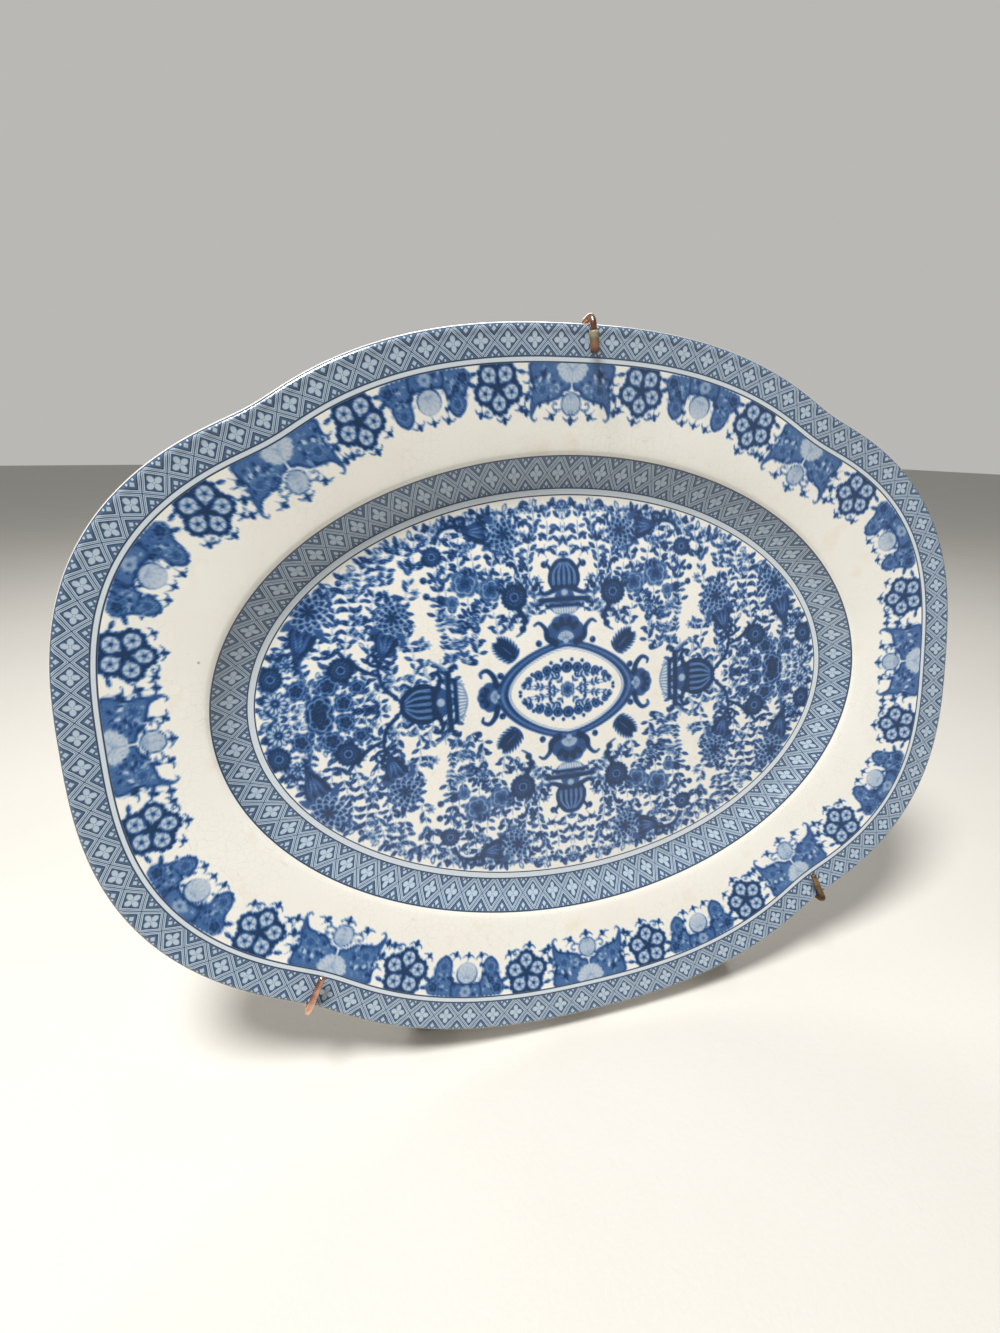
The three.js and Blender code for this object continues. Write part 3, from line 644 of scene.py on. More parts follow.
def cartouche(art):
    """The central oval panel: a moulded band, ornaments at its ends, a flower spray inside."""
    def band(width, shrink=1.0):
        def distance(dx, dy):
            reach = (abs(dx) / 37 / shrink) ** 1.5 + (abs(dy) / 25.5 / shrink) ** 1.85
            return abs(reach ** 0.6 - 1) * 26 - width / 2
        return distance

    for width, tone in ((4.4, MID), (3.4, DEEP), (2.0, MID), (0.7, SOFT)):
        art.ink(0, 0, 60, band(width), tone)
    art.ink(0, 0, 60, band(0.5, 0.88), SOFT)
    for x, y, angle, size in ((42.5, 0, 0, 8.2), (0, 31, pi / 2, 10.6)):
        for i in range(7):
            lean = angle + (i - 3) * 0.62
            art.disc(*polar(x, y, lean, size * 0.62), size * 0.4, MID)
        for lean in (-0.9, -0.3, 0.3, 0.9):
            art.petal(*polar(x, y, angle + lean, size * 0.2), angle + lean, size * 0.75, size * 0.3, DEEP)
        art.disc(x, y, size * 0.4, MID)
        fan(art, *polar(x, y, angle + pi, size * 0.35), angle, size * 0.5, 2.2)
    art.stroke([(40, 6), (41.5, 11), (45, 14.5), (48.5, 13), (48, 10.5)], 3.4, 1.0, DEEP)
    art.stroke([(6, 26), (10.5, 29), (11.5, 34), (15, 37.5), (18, 36)], 3.8, 1.0, DEEP)

    # Inside: a rose between two sprays of fruit and leaves.
    rose(art, 0, 0, 4.4, MID)
    stems = ((3, 4, 0.9), (7, 7, 0.3), (13, 8, 0.1), (6, 1, 0.1), (13, 2, 0.3), (20, 3.5, 0.2))
    each(sprig, art, stems, 6.5, 2, DEEP)
    art.stroke([(5, 0), (12, 3), (20, 2), (27, 4)], 1.0, 0.6, MID)
    for x, y, radius in ((0, 12.5, 3.2), (6, 12, 2.8), (11.5, 11.5, 2.6), (16.5, 9.5, 2.4), (22, 7, 2)):
        art.disc(x, y, radius, DEEP)
        art.ring(x, y, radius * 0.55, 0.5, SOFT)
    each(berry, art, ((27, 1), (25, 5), (3, 16.5), (9, 15.5), (20, 10), (10, 4.5)), 1.0)


# Sizes from the floor's middle, in mm.
QUARTER = (164, 108)
PRINTED_HALF = (157, 99.5)
EDGE_ROW_HALF = (154, 97.5)
PANEL_HALF = (60, 40)


def left_bare(x, y):
    """Whether a place lies off the floor, round the middle panel or in one of its white channels."""
    off = hypot(x / PRINTED_HALF[0], y / PRINTED_HALF[1]) > 1
    panel = hypot(x / PANEL_HALF[0], y / PANEL_HALF[1]) < 1
    return off or panel or (70 < x < 79 and 20 < y < 68) or (x < 14 and y < 72)


def under_leaves(art, rng):
    """Leafy stems with berries and florets, close together, behind the floor's larger flowers."""
    for stem in range(23):
        sway = rng.uniform(0, 6.3)
        for step in range(28):
            y = (step + rng.uniform(-0.3, 0.3)) * 3.8
            x = stem * 7.4 + 3 + 2.2 * sin(y / 7 + sway)
            if left_bare(x, y):
                continue
            for side in (-1, 1):
                lean = pi / 2 + side * rng.uniform(0.4, 1.6)
                leaf(art, *polar(x, y, lean, 0.7), lean, rng.uniform(3.6, 5.2), rng.choice([DARK, DEEP]))
            art.stroke([(x, y), (x + 0.3, y + 2), (x, y + 3.6)], 0.35, 0.35, MID)
            pick = rng.uniform()
            if pick < 0.14:
                berry(art, x + 3.6, y + 1.5, rng.uniform(0.9, 1.4))
            elif pick < 0.26:
                floret(art, x - 3.6, y, 2.8, 6)
            elif pick < 0.4:
                outlined_leaf(art, x + 3, y, rng.uniform(0, 6.3), 4)


def edge_flowers(art, rng):
    """A close row of buds, leaves and florets round the rim of the floor."""
    count = 56
    wide, high = EDGE_ROW_HALF
    for i in range(count):
        angle = pi / 2 * (i + 0.5) / count
        x, y = wide * cos(angle), high * sin(angle)
        out = atan2(y / high ** 2, x / wide ** 2)
        pick = i % 4
        if pick == 0:
            outlined_leaf(art, x, y, out + rng.uniform(-0.6, 0.6), 5)
        elif pick == 1:
            berry(art, x, y, 1.5)
            curl(art, x, y, out + 0.6, 2, 1, SOFT)
        elif pick == 2:
            leaf(art, x, y, out + rng.uniform(-0.7, 0.7), 5.5)
        else:
            floret(art, x, y, 3, 6)


def floor_quarter():
    """The floor's flowers over one quarter, which repeats mirrored in the other three."""
    rng = np.random.default_rng(5)
    art = Canvas(*QUARTER)
    under_leaves(art, rng)
    edge_flowers(art, rng)

    # The scrolls that rise from the side urn, and the two trumpet flowers they carry.
    art.stroke([(93, 5), (99, 11), (101, 20), (98, 27)], 2.2, 1.6, DEEP)
    art.stroke([(101, 17), (107, 19.5), (112, 23), (115, 27)], 1.6, 2.6, DEEP)
    art.stroke([(136, 17), (138, 25), (135, 34)], 0.8, 2.0, MID)
    for x, y, size in ((92, 45.5, 7.6), (131.5, 51, 8.4)):
        for angle in all_round(13):
            leaf(art, *polar(x, y, angle, size * 0.95), angle + rng.uniform(-0.5, 0.5), 4.4)
        big_blossom(art, x, y, -1.25, size)

    # The trumpet flower that lies along the floor's upper edge.
    art.stroke([(68, 81), (65, 87), (58, 89), (48, 87.5)], 1.6, 2.6, DEEP)
    big_blossom(art, 32.5, 84.5, 0.1, 7.6)
    blossom(art, 70, 74.5, 5.2, 16)
    curl(art, 66, 80, 2.4, 3.4, -1)
    each(sprig, art, ((40, 78, 1.2), (45, 95, 4.4), (26, 93, 4.0), (22, 80, 2.6), (30, 74, 4.6)), 7, 2)

    # The diagonal spray of roses and asters.
    each(rose, art, ((54, 60.5, 7.4), (40.5, 56.5, 6.4)))
    blossom(art, 28, 52, 7.2, 18)
    rose(art, 61, 51, 3.6)
    for x, y in ((47, 66), (34, 62), (47.5, 49.5), (20, 59)):
        sprig(art, x, y, rng.uniform(0, 6.3), 8, 3)
    art.stroke([(26, 46), (23, 40), (24, 34), (28, 31)], 2.6, 0.8, DEEP)
    each(Canvas.disc, art, ((25, 43), (22.5, 39), (24, 35)), 1.9, DEEP)
    stems = ((67, 27, 1.7), (67, 36, 1.4), (66, 46, 1.3), (57, 34, 2.0), (56, 44, 2.6), (48, 34, 1.2))
    each(sprig, art, stems, 9, 3)
    each(floret, art, ((61, 30), (62, 42), (50, 42)), 3.2)

    # Roses and asters beyond the side urn.
    each(rose, art, ((131, 3, 7.2), (119, 5, 5), (126, 14, 5.4), (141, 13, 5), (112, 12.5, 4)), DEEP)
    each(blossom, art, ((119, 21.5, 6.4, 18), (152, 20, 6, 16)))
    each(floret, art, ((151, 8, 6.4, 12), (144, 26, 4, 8)))
    each(leaf, art, ((105, 0, 0.5, 6), (102, 0, 1.3, 5)))

    # The panel in the middle, with its leaves and urns.
    art.ink(0, 0, 60, lambda dx, dy: np.hypot(dx / 1.5, dy) - 27, 0)
    feather(art, 28.5, 19.5, 0.75, 15)
    urn(art, 82, 0, pi, 0.94)
    urn(art, 0, 63, -pi / 2, 0.8)
    for side, tone in ((1, PALE), (0, SOFT)):
        art.stroke([(67 - side, 17), (75, 22), (78, 16), (74, 12)], 1.4, 0.7, tone)
    each(curl, art, ((62, 20, 0.4, 3.4, 1), (12, 51, 1.0, 3.6, -1), (88, 13, 1.4, 3.4, 1)), SOFT)
    fruit = ((37.5, 11), (15.5, 26.5), (51, 19.5), (74, 55), (75, 63), (82, 72), (16.5, 56), (11, 68))
    each(berry, art, fruit, 1.7)
    each(bud, art, ((9, 45, 0.8), (14, 57, 0.9), (52, 21, 0.9), (11, 74, 1.2)), 2.6)
    cartouche(art)
    art.bleed()
    return art


# ---- the platter

TALL_LOBE = (202, 178, 2.39)
WIDE_LOBE = (235, 156, 2.68)
NOTCH_SHARPNESS = 120
WELL = (180.4, 123, 2)
FLOOR_EDGE = -19.4
FLOOR_DEPTH = 25.6
PLAIN_START = 48
BACK_EDGE = 2.9
FOOT_OUTSET = 164 - WELL[0]
FOOT_DEPTH = 35
BACK_DEPTH = 31.8
AROUND = 1440

# How many mm across the print each band starts and is wide. The border is measured inwards from
# the rim, the cove from COVE_START on, and PLAIN lies where nothing is printed.
LATTICE_OUTER = 1.5
LATTICE_WIDTH = 12.8
PLAIN = 60
COVE_START = 100
COVE_MIDDLE = COVE_START + 8.1
COVE_HALF = 7.0
FLOOR_START = 118.5
BORDER_DIAMONDS = 100
COVE_DIAMONDS = 77


def superellipse(lobe, angle):
    shift, half_height, power = lobe
    across = abs(np.cos(angle) / shift) ** power
    return (across + abs(np.sin(angle) / half_height) ** power) ** (-1 / power)


def outline(angle):
    tall = superellipse(TALL_LOBE, angle)
    wide = superellipse(WIDE_LOBE, angle)
    most = np.maximum(tall, wide)
    blend = (tall / most) ** NOTCH_SHARPNESS + (wide / most) ** NOTCH_SHARPNESS
    return most * blend ** (1 / NOTCH_SHARPNESS)


def oval(outset, angle):
    """Points on the well's oval, moved outset mm outwards."""
    radius = superellipse((WELL[0] + outset, WELL[1] + outset, 2), angle)
    return np.stack([radius * np.cos(angle), radius * np.sin(angle)], axis=1)


def through(knots, at):
    """Values at places along a smooth line through (place, value) knots."""
    x, y = np.array(knots, float).T
    slope = np.gradient(y, x)
    i = np.clip(np.searchsorted(x, at) - 1, 0, len(x) - 2)
    run = x[i + 1] - x[i]
    t = (np.asarray(at) - x[i]) / run
    start = (1 + 2 * t) * (1 - t) ** 2 * y[i] + t * (1 - t) ** 2 * run * slope[i]
    end = t * t * (3 - 2 * t) * y[i + 1] + t * t * (t - 1) * run * slope[i + 1]
    return start + end


# Depth behind the rim, by the share of the way from the outline to the well's edge.
BORDER_DEPTH = ((0, 0), (0.25, 3.2), (0.5, 6.6), (0.75, 9.8), (0.95, 12.5), (1.02, 13.6))


def border_depth(points):
    angle = np.arctan2(points[:, 1], points[:, 0])
    edge = outline(angle)
    share = (edge - np.hypot(*points.T)) / (edge - superellipse(WELL, angle))
    return through(BORDER_DEPTH, np.clip(share, 0, 1.02))


def running_length(points):
    """Length along a closed ring of points, from its first point to each, and on to its end."""
    return np.concatenate([[0], np.cumsum(np.hypot(*(np.roll(points, -1, axis=0) - points).T))])


def in_diamonds(points, count):
    """How many of a band's diamonds lie before each point of a ring."""
    length = running_length(points)
    return length[:-1] / length[-1] * count


def inward_normals(points):
    """Normals into the ring, averaged over a few mm so that offsets stay smooth."""
    along = np.roll(points, -1, axis=0) - np.roll(points, 1, axis=0)
    normals = np.stack([-along[:, 1], along[:, 0]], axis=1)
    normals /= np.hypot(*normals.T)[:, None]
    for _ in range(60):
        normals = (np.roll(normals, 1, axis=0) + 2 * normals + np.roll(normals, -1, axis=0)) / 4
    return normals / np.hypot(*normals.T)[:, None]


class Rings:
    """Rings of points from the front's middle to the back's, each with its print and its band."""

    def __init__(self):
        self.points = []
        self.inks = []
        self.bands = []
        self.counts = []

    def add(self, points, depth, across, diamonds=0.0, ink=0.0):
        """Band is how many diamonds round a point lies, and how many mm across the print."""
        count = len(points)
        self.points.append(np.column_stack([points, np.broadcast_to(-depth, count)]))
        self.inks.append(np.broadcast_to(ink, count))
        self.bands.append(np.column_stack([np.broadcast_to(diamonds, count), np.full(count, across)]))
        self.counts.append(count)


def quarter_fold(values):
    """The first quarter's values for every point round, mirrored in both axes."""
    count = len(values)
    i = np.arange(count) % (count // 2)
    return values[np.minimum(i, count // 2 - i)]


def platter_rings():
    rings = Rings()
    angle = 2 * np.pi * np.arange(AROUND) / AROUND
    edge = outline(angle)
    rim = np.stack([edge * np.cos(angle), edge * np.sin(angle)], axis=1)
    normals = inward_normals(rim)

    def inside(inset):
        return rim + normals * inset

    diamonds = in_diamonds(inside(LATTICE_OUTER + LATTICE_WIDTH / 2), BORDER_DIAMONDS)
    inner = inside(PLAIN_START)
    inner_angle = np.unwrap(np.arctan2(inner[:, 1], inner[:, 0]))

    def round_well(outset):
        return oval(outset, inner_angle)

    # The floor, from its middle line outwards. Inner rings have half the points.
    art = floor_quarter()
    floor_edge = round_well(FLOOR_EDGE)
    half = (WELL[0] + FLOOR_EDGE, WELL[1] + FLOOR_EDGE)
    turn = np.arctan2(floor_edge[:, 1] / half[1], floor_edge[:, 0] / half[0])
    steps = 138
    for step in range(steps):
        inset = half[1] * (1 - step / steps)
        share = turn if inset < 50 else turn[::2]
        points = np.stack([(half[0] - inset) * np.cos(share), (half[1] - inset) * np.sin(share)], axis=1)
        ink = art.at(*abs(points).T)
        rings.add(points, FLOOR_DEPTH - 0.2 * step / steps, FLOOR_START + inset, ink=ink)

    # The cove, up to the well's edge.
    cove_diamonds = in_diamonds(round_well(-8), COVE_DIAMONDS)
    cove = ((FLOOR_EDGE, FLOOR_DEPTH - 0.2), (-14.5, 24.4), (-10.6, 22.4), (-5, 17.9), (-2.6, 15.4),
            (-1, 14.1))
    for outset in np.linspace(FLOOR_EDGE, -1.6, 26):
        across = COVE_START + (FLOOR_START - COVE_START) * (-1 - outset) / (-1 - FLOOR_EDGE)
        rings.add(round_well(outset), through(cove, outset), across, cove_diamonds)

    # The plain slope, then the flowers, then the lattice.
    shoulder = round_well(-0.4)
    shoulder_depth = border_depth(shoulder)
    for share in (0, 0.12, 0.3, 0.5, 0.75):
        points = shoulder * (1 - share) + inner * share
        rings.add(points, np.where(share < 0.1, shoulder_depth + 0.15, border_depth(points)), PLAIN)
    length = running_length(inside(FLORAL_START + 12))
    quarter = AROUND // 4
    lobe_gap = superellipse(TALL_LOBE, angle[:quarter]) - superellipse(WIDE_LOBE, angle[:quarter])
    notch = int(np.argmin(abs(lobe_gap)))
    along = quarter_fold(length[:-1])
    side = border_section(length[notch], 11)
    top = border_section(length[quarter] - length[notch], 12)
    for inset in np.arange(PLAIN_START, 14.6, -0.75):
        points = inside(inset)
        deep = inset - FLORAL_START
        ink = np.where(along < length[notch], side.at(along, deep), top.at(along - length[notch], deep))
        rings.add(points, border_depth(points), inset, diamonds, ink * (deep > 0) * (deep < FLORAL_DEPTH))
    for inset in (14, 12, 10, 8, 6, 4.5):
        rings.add(inside(inset), border_depth(inside(inset)), inset, diamonds)

    # Round the lip and over the back.
    lip = ((3.0, 0.12), (2.2, 0.3), (1.4, 0.6), (0.7, 1.35), (0.2, 2.4), (0, 3.0), (0.2, 4.1),
           (0.8, 5.2), (1.7, 5.9), (BACK_EDGE, 6.2))
    for inset, depth in lip:
        rings.add(inside(inset), depth, inset, diamonds)
    for share in np.linspace(0, 1, 16)[1:]:
        points = inside(BACK_EDGE) * (1 - share) + round_well(-1) * share
        rings.add(points, 6.2 + 13.0 * share + 5.0 * max(0, share - 0.9) / 0.1, PLAIN)
    heel = ((4, BACK_DEPTH), (2.6, 33), (1.8, 34.7), (1, FOOT_DEPTH))
    foot = ((-4, 26.6), (-8, 30.2), *((FOOT_OUTSET + over, depth) for over, depth in heel),
            *((FOOT_OUTSET - over, depth) for over, depth in heel[::-1]))
    for outset, depth in foot:
        rings.add(round_well(outset), depth, PLAIN)
    inner_half = (WELL[0] + FOOT_OUTSET - 4, WELL[1] + FOOT_OUTSET - 4)
    unit_oval = oval(FOOT_OUTSET - 4, inner_angle[::2]) / inner_half
    for inset in (*range(24, 120, 8), WELL[1]):
        rings.add(unit_oval * (WELL[0] - inset, WELL[1] - inset), BACK_DEPTH, PLAIN)
    return rings


def ring_faces(rings):
    """Faces between the rings, and the band at each of their corners."""
    faces = []
    bands = []
    starts = np.concatenate([[0], np.cumsum(rings.counts)])
    for k in range(len(rings.counts) - 1):
        near, far = rings.counts[k], rings.counts[k + 1]
        i = np.arange(min(near, far))
        if near == far:
            corners = [((0, i), (1, i), (1, i + 1), (0, i + 1))]
        else:
            few, many = (0, 1) if near < far else (1, 0)
            corners = [((few, i), (many, 2 * i), (many, 2 * i + 1)),
                       ((few, i), (many, 2 * i + 1), (few, i + 1)),
                       ((few, i + 1), (many, 2 * i + 1), (many, 2 * i + 2))]
            if few == 1:
                corners = [corner[::-1] for corner in corners]
        for corner in corners:
            index = []
            band = []
            for ring, at in corner:
                count = rings.counts[k + ring]
                index.append(starts[k + ring] + at % count)
                whole = rings.bands[k + ring]
                value = whole[at % count]
                value[:, 0] += (at // count) * round(whole[-1, 0] - whole[0, 0])
                band.append(value)
            faces.extend(np.stack(index, axis=1).tolist())
            bands.append(np.stack(band, axis=1).reshape(-1, 2))
    return faces, np.concatenate(bands)


def glaze():
    """Cream glazed earthenware with its blue transfer print, crazed and lightly soiled."""
    shade = Shade("glazed_earthenware", IOR=1.5, Coat_Weight=0.35, Coat_Roughness=0.08)
    band = shade.node("SeparateXYZ", {"Vector": shade.attribute("band").outputs["Vector"]})
    around = Number(shade, band.outputs["X"])
    across = Number(shade, band.outputs["Y"])
    print_tone = Number(shade, shade.attribute("ink").outputs["Fac"])

    cream = shade.mix(shade.noise(14).below(0.5, 0.5), "#E9E6DC", "#EFEDE6")
    stain = shade.noise(55, 5).below(0.33, 0.12) * 0.35
    cream = shade.mix(stain, cream, "#E2D3B4")
    crazing = Number(shade, shade.cells(260, "DISTANCE_TO_EDGE", "Distance")).below(0.018, 0.02)
    cream = shade.mix(crazing * shade.noise(30).below(0.55, 0.2) * 0.2, cream, "#BCA988")
    speck = Number(shade, shade.cells(75, "F1", "Distance")).below(0.045, 0.03)
    chance = shade.noise(90, 1).below(0.36, 0.04)
    cream = shade.mix(speck * chance * 0.8, cream, "#5E5141")

    wander = (shade.noise(900, 2) - 0.5) * 0.16
    print_tone = print_tone + wander * print_tone.below(0.1, 0.08).opposite()
    stops = ((0.0, "#EFEDE6"), (0.05, "#E9E9E5"), (0.2, "#C6CFD8"), (0.42, "#8FA5BF"), (0.58, "#5F80A8"),
             (0.75, "#3B6094"), (0.9, "#27487A"), (1.0, "#1D3656"))
    ink = shade.ramp(print_tone, *stops)
    painted = shade.mix(print_tone.below(0.08, 0.12).opposite(), cream, ink)

    lattice, in_band = lattice_print(shade, around, across)
    painted = shade.mix(in_band, painted, lattice)
    lines, in_lines = ruled_lines(shade, across)
    painted = shade.mix(in_lines, painted, lines)
    ripple = shade.noise(22, 2) + shade.noise(150, 2) * 0.1
    return shade.finish(painted, shade.noise(40) * 0.14 + 0.1, ripple, 0.0007)


def lattice_print(shade, around, across):
    """Diamonds with double edges and four-petalled flowers, and where that band lies."""
    half = LATTICE_WIDTH / 2
    on_border = across.near(LATTICE_OUTER + half, half, 0.15)
    on_cove = across.near(COVE_MIDDLE, COVE_HALF, 0.15)
    up_border = (across - (LATTICE_OUTER + half)) * (1 / half)
    up_cove = (across - COVE_MIDDLE) * (1 / COVE_HALF)
    y = up_border * on_border + up_cove * on_cove
    x = (around.by("FRACT") - 0.5) * 2
    reach = (x + y).size().larger((x - y).size())
    edge_distance = reach.smaller(reach.by("SUBTRACT", 2).size())
    inside = reach.below(1, 0.02)

    # Petals point at the diamond's corners, so they lie along x and y.
    far = x.size().larger(y.size())
    near = x.size().smaller(y.size())
    petal = ((far - 0.3) * 4.4).by("POWER", 2) + (near * 5.6).by("POWER", 2)
    flower = petal.below(1, 0.5).larger((far + near).below(0.1, 0.06))
    ticks = (near - far).near(0, 0.04, 0.04) * reach.near(0.58, 0.1, 0.04)
    corner_x = x.size() - 1
    corner_y = y.size() - 0.7
    small = (corner_x.size() + corner_y.size()).below(0.17, 0.05)
    dots = (corner_x.size().near(0.24, 0.06, 0.04) * y.size().near(0.9, 0.07, 0.04)).larger(small)

    light = edge_distance.near(0.915, 0.035, 0.03).larger(edge_distance.near(0.79, 0.045, 0.03))
    light = light.larger(flower * inside).larger(dots * inside.opposite())
    dark = edge_distance.near(1, 0.035, 0.02).larger(edge_distance.near(0.853, 0.022, 0.02))
    dark = dark.larger(edge_distance.near(0.69, 0.04, 0.03)).larger(edge_distance.below(0.66, 0.02) * 0.6)
    dark = dark.larger(ticks * inside)
    tone = shade.mix(dark, "#6D85A3", "#263C58")
    tone = shade.mix(light, tone, "#B0C0CE")
    return tone, on_border.larger(on_cove)


def ruled_lines(shade, across):
    """The white and dark lines beside the lattice bands."""
    inner = LATTICE_OUTER + LATTICE_WIDTH
    white = across.near(inner + 1.35, 0.9, 0.1).larger(across.near(COVE_START + 16.95, 1.2, 0.1))
    dark = across.near(LATTICE_OUTER - 0.2, 0.3, 0.1)
    for middle in (inner + 0.15, inner + 2.55, COVE_START + 0.95, COVE_START + 15.3, COVE_START + 18.6):
        dark = dark.larger(across.near(middle, 0.36, 0.14))
    lines = shade.mix(dark, "#CDD6DD", "#36475F")
    return lines, white.larger(dark)


def make_platter():
    rings = platter_rings()
    faces, bands = ring_faces(rings)
    points = on_plate(np.concatenate(rings.points))
    obj = piece("platter_glazed", points, faces, "platter", "platter", "glaze", glaze())
    ink = obj.data.attributes.new("ink", "FLOAT", "POINT")
    ink.data.foreach_set("value", np.concatenate(rings.inks).astype(np.float32))
    band = obj.data.attributes.new("band", "FLOAT_VECTOR", "CORNER")
    vectors = np.column_stack([bands, np.zeros(len(bands))])
    band.data.foreach_set("vector", vectors.astype(np.float32).ravel())


# ---- claws, sleeve and spring

ARM_ANGLE = radians(26)
ARM_APEX = 166
SPINE = -47
CLAW_WIRE = 1.6
FINGER = 17
FINGER_FRONT = 2.3
FINGER_BACK = -7.5
BEHIND_RIM_INSET = 9
BEHIND_RIM_W = -10.6
ROD_U = 13.2
SPRING_BOTTOM = 128.3
SPRING_TOP = 153.7
SPRING_RADIUS = 3.6
RIM_GAP = 0.37
TOP_FINGER = 14
TOP_FRONT = 3.0
TOP_U = 7.4


def unit(vector):
    return vector / np.linalg.norm(vector)


def bent(corners, bends):
    """A path through the corners, each rounded to its bend radius, in mm."""
    corners = [np.array(c, float) for c in corners]
    path = [corners[0]]
    for before, corner, after, radius in zip(corners, corners[1:], corners[2:], bends):
        back = unit(before - corner)
        ahead = unit(after - corner)
        half = acos(back @ ahead) / 2
        centre = corner + unit(back + ahead) * radius / sin(half)
        first = corner + back * radius / tan(half) - centre
        last = corner + ahead * radius / tan(half) - centre
        sweep = pi - 2 * half
        for turn in np.linspace(0, sweep, 11):
            path.append(centre + (first * sin(sweep - turn) + last * sin(turn)) / sin(sweep))
    path.append(corners[-1])
    return path


def round_tips(path, radius):
    """The path and its radii, with both ends rounded off like filed wire."""
    stations = []
    for tip, ahead in ((path[0], path[1]), (path[-1], path[-2])):
        way = unit(ahead - tip)
        round_off = [(1 - cos(a), sin(a)) for a in np.linspace(0.15, pi / 2, 7)]
        stations.append([(tip + way * radius * depth, radius * width) for depth, width in round_off])
    start, end = stations
    middle = [(point, radius) for point in path[1:-1]]
    return [*start, *middle, *end[::-1]]


def tube(stations, sides):
    """Points and faces of a round rod through (point, radius) stations."""
    places = np.array([point for point, _ in stations])
    tangents = np.gradient(places, axis=0)
    across = unit(np.cross(tangents[0], (0.3, 0.5, 0.8)))
    points = []
    for place, tangent, (_, radius) in zip(places, tangents, stations):
        tangent = unit(tangent)
        across = unit(across - tangent * (across @ tangent))
        other = np.cross(tangent, across)
        for i in range(sides):
            angle = 2 * pi * i / sides
            points.append(place + radius * (across * cos(angle) + other * sin(angle)))
    faces = []
    for low in range(0, len(points) - sides, sides):
        for i in range(sides):
            ahead = (i + 1) % sides
            faces.append((low + i, low + ahead, low + sides + ahead, low + sides + i))
    faces.append(tuple(range(sides))[::-1])
    faces.append(tuple(range(len(points) - sides, len(points))))
    return points, faces


def rod(name, stations, sides, *rides):
    """A round rod through (point, radius) stations on the platter's own frame."""
    points, faces = tube(stations, sides)
    return piece(name, on_plate(points), faces, *rides)


def edge_reach(start, way):
    """How far along way a wire from start first clears the platter's outline on all sides."""
    distances = np.linspace(0, 400, 20001)
    furthest = 0
    for offset in (-CLAW_WIRE, 0, CLAW_WIRE):
        u = start[0] + way[0] * distances - way[1] * offset
        v = start[1] + way[1] * distances + way[0] * offset
        outside = np.hypot(u, v) > outline(np.arctan2(v, u))
        furthest = max(furthest, distances[np.argmax(outside)])
    return furthest


def make_lower_claw(name, side, material):
    way = (side * sin(ARM_ANGLE), -cos(ARM_ANGLE))
    edge = edge_reach((0, ARM_APEX), way)

    def on_arm(distance, w):
        return (way[0] * distance, ARM_APEX + way[1] * distance, w)

    outer = edge + CLAW_WIRE + RIM_GAP
    corners = [on_arm(edge - FINGER - CLAW_WIRE, FINGER_FRONT), on_arm(outer, FINGER_FRONT),
               on_arm(outer, FINGER_BACK), on_arm(edge - BEHIND_RIM_INSET, BEHIND_RIM_W),
               on_arm(edge - 40, SPINE), on_arm(188, SPINE)]
    stations = round_tips(bent(corners, (3.8, 4, 4, 7)), CLAW_WIRE)
    body = f"lower_claw_{name}"
    rod(f"{body}_wire", stations, 28, body, body, "copper_wire", material)


def make_top_claw(wire_material, sleeve_material):
    edge = edge_reach((TOP_U, 0), (0, 1))
    outer = edge + CLAW_WIRE + RIM_GAP
    corners = [(8.3, edge - TOP_FINGER, TOP_FRONT), (TOP_U, outer, TOP_FRONT),
               (TOP_U, outer, FINGER_BACK), (TOP_U + 0.8, edge - BEHIND_RIM_INSET, BEHIND_RIM_W),
               (ROD_U, 168, SPINE), (ROD_U, 101, SPINE)]
    stations = round_tips(bent(corners, (4, 4, 4, 6)), CLAW_WIRE)
    rod("top_claw_wire", stations, 28, "top_claw", "top_claw", "copper_wire", wire_material)

    # The sleeve: a soft tube with a rounded end, slight swellings and a flared, uneven mouth.
    tip = np.array(corners[0])
    up = unit(np.array(corners[1]) - tip)
    outside = ((-0.58, 0.8), (-0.55, 1.5), (-0.3, 1.95), (0.3, 2.16), (2.6, 2.08), (4.2, 2.18), (5.6, 2.1),
               (6.8, 2.18), (7.5, 2.4), (8.1, 2.43), (8.55, 2.2), (8.55, 1.8), (7.9, 1.62))
    stations = [(tip + up * along, radius) for along, radius in outside]
    rod("top_claw_sleeve_soft", stations, 28, "top_claw", "top_claw_sleeve", "vinyl", sleeve_material)


def make_spring(material):
    """The spring round the top claw's rod, riding on the top carriage. In the real stand it shortens
    towards the carriage's upper lug as the top claw lifts; here it is built at one fixed length.
    """
    turns = 6.5
    stations = []
    for share in np.linspace(0, 1, 170):
        angle = 2 * pi * turns * share
        rise = SPRING_BOTTOM + 0.5 + (SPRING_TOP - SPRING_BOTTOM - 1.0) * share
        place = (ROD_U + SPRING_RADIUS * cos(angle), rise, SPINE + SPRING_RADIUS * sin(angle))
        stations.append((np.array(place), 0.44))
    spring = rod("claw_spring_coil", stations, 10, "top_carriage", "claw_spring", "spring_steel", material)
    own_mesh(spring)


# ---- metals, rubber and vinyl


def metal(name, clean, worn, roughness, grain=0.25, cast=False):
    """A metal with clean and tarnished patches, fine scratches, and a rougher skin where cast."""
    shade = Shade(name, Metallic=1.0)
    tint = shade.mix(shade.noise(90, 5).below(0.52, 0.25), worn, clean)
    tint = shade.mix(shade.noise(600, 2).below(0.36, 0.08) * 0.5, tint, worn)
    rough = shade.noise(140) * grain + (roughness - grain / 2)
    if cast:
        return shade.finish(tint, rough, shade.noise(1800, 3) + shade.noise(300, 2), 0.00022)
    return shade.finish(tint, rough, shade.noise(220, 2, stretch=(1, 1, 12)), 0.00005)


